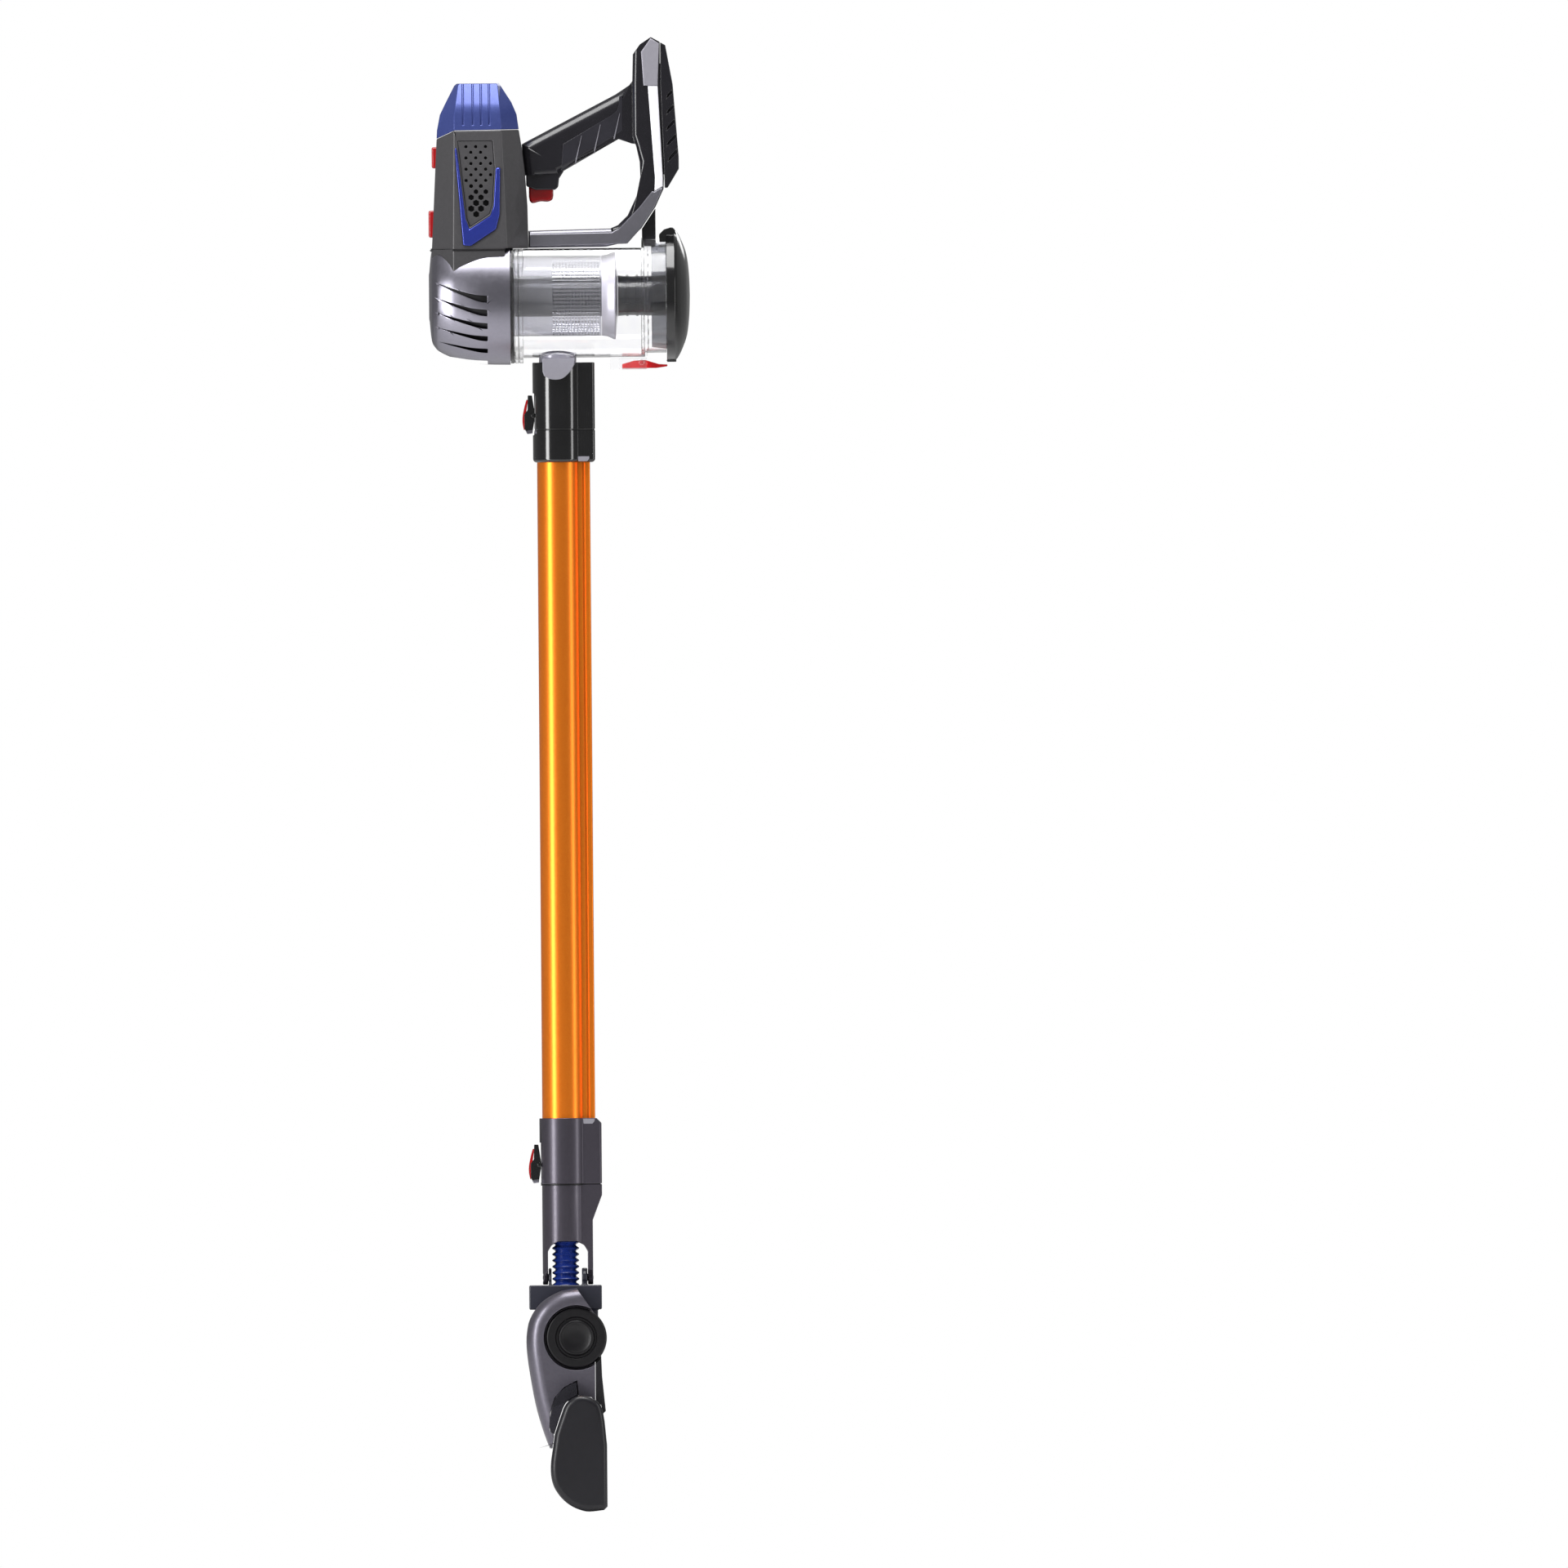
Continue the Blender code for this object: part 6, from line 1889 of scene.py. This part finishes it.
@dataclass
class Studio:
    """Pale floor, soft lamps and a level camera at the side of the vacuum."""

    middle: Pair = (182.0, 592.7)
    height: float = 1280.0
    roll: float = 0.46
    reach: float = 3000.0
    lamp_distance: float = 1.8
    room_light: float = 0.22

    def floor(self) -> None:
        """Pale floor that the head stands on."""
        clear_desk()
        bpy.ops.mesh.primitive_plane_add(size=8)
        ground = started("studio_floor")
        low = cad_bounds[0].z
        edit(ground)
        bpy.ops.mesh.subdivide(number_cuts=3)
        bpy.ops.transform.translate(value=(0, 0, low - 0.0002))
        close()
        paper = bpy.data.materials.new("floor_paper")
        paper.use_nodes = True
        shader = paper.node_tree.nodes["Principled BSDF"]
        tone = blended(paper.node_tree, pattern(paper.node_tree, 400), "#eeeeee", "#f6f6f6")
        paper.node_tree.links.new(tone, shader.inputs["Base Color"])
        shader.inputs["Roughness"].default_value = 0.9
        ground.data.materials.append(paper)

    def lamp(self, name: str, turn: float, rise: float, size: Pair, power: float) -> None:
        """Soft box that looks at the middle of the vacuum.

        Args:
            name: Name of the lamp.
            turn: Angle round the vacuum from the camera's side, in degrees, to the right.
            rise: Height angle in degrees.
            size: Width and height in metres.
            power: Power in watts.
        """
        clear_desk()
        middle = Vector((0, 0, self.middle[1] * MM))
        side, up = math.radians(turn), math.radians(rise)
        way = Vector((math.sin(side) * math.cos(up), -math.cos(side) * math.cos(up), math.sin(up)))
        place = middle + way * self.lamp_distance
        bpy.ops.object.light_add(type="AREA", location=place)
        lamp = bpy.context.object
        lamp.name = name
        lamp.rotation_euler = (middle - place).to_track_quat("-Z", "Y").to_euler()
        lamp.data.shape = "RECTANGLE"
        lamp.data.size, lamp.data.size_y = size
        lamp.data.energy = power

    def sky(self) -> None:
        """White backdrop seen directly and through clear plastic, over a dimmer room for reflections."""
        world = bpy.data.worlds.new("studio")
        bpy.context.scene.world = world
        world.use_nodes = True
        tree = world.node_tree
        rays = add(tree, "ShaderNodeLightPath")
        seen = add(tree, "ShaderNodeMath", {"operation": "MAXIMUM"}, {
            0: rays.outputs["Is Camera Ray"], 1: rays.outputs["Is Transmission Ray"],
        })
        level = add(tree, "ShaderNodeMapRange", feeds={
            "Value": seen.outputs[0], "To Min": self.room_light, "To Max": 1.0,
        })
        backdrop = tree.nodes["Background"]
        backdrop.inputs["Color"].default_value = (1, 1, 1, 1)
        tree.links.new(level.outputs["Result"], backdrop.inputs["Strength"])

    def camera(self) -> None:
        """Level camera without perspective, a hair off plumb."""
        clear_desk()
        x, z = self.middle
        bpy.ops.object.camera_add(location=Vector((x, -self.reach, z)) * MM)
        camera = bpy.context.object
        camera.rotation_euler = (math.pi / 2, math.radians(self.roll), 0)
        camera.data.type = "ORTHO"
        camera.data.ortho_scale = self.height * MM
        bpy.context.scene.camera = camera
        bpy.context.scene.view_settings.view_transform = "Standard"

    def build(self) -> None:
        """Floor, lamps, sky and camera."""
        self.camera()
        self.floor()
        self.sky()
        self.lamp("key_box", -50, 4, (0.45, 1.8), 30)
        self.lamp("fill_box", 66, 5, (0.3, 1.8), 9)
        self.lamp("top_box", -10, 76, (1.4, 1.2), 42)
        self.lamp("rim_box", 165, 35, (0.8, 1.0), 5)


def main() -> None:
    """Builds every sub-assembly and the studio round them."""
    logging.basicConfig(level=logging.INFO, format="%(name)s: %(message)s")
    shop = Workshop()
    Studio().build()
    for maker in MAKERS:
        maker().build(shop)
    LOG.info("%d pieces in all", shop.count)


if __name__ == "__main__":
    main()
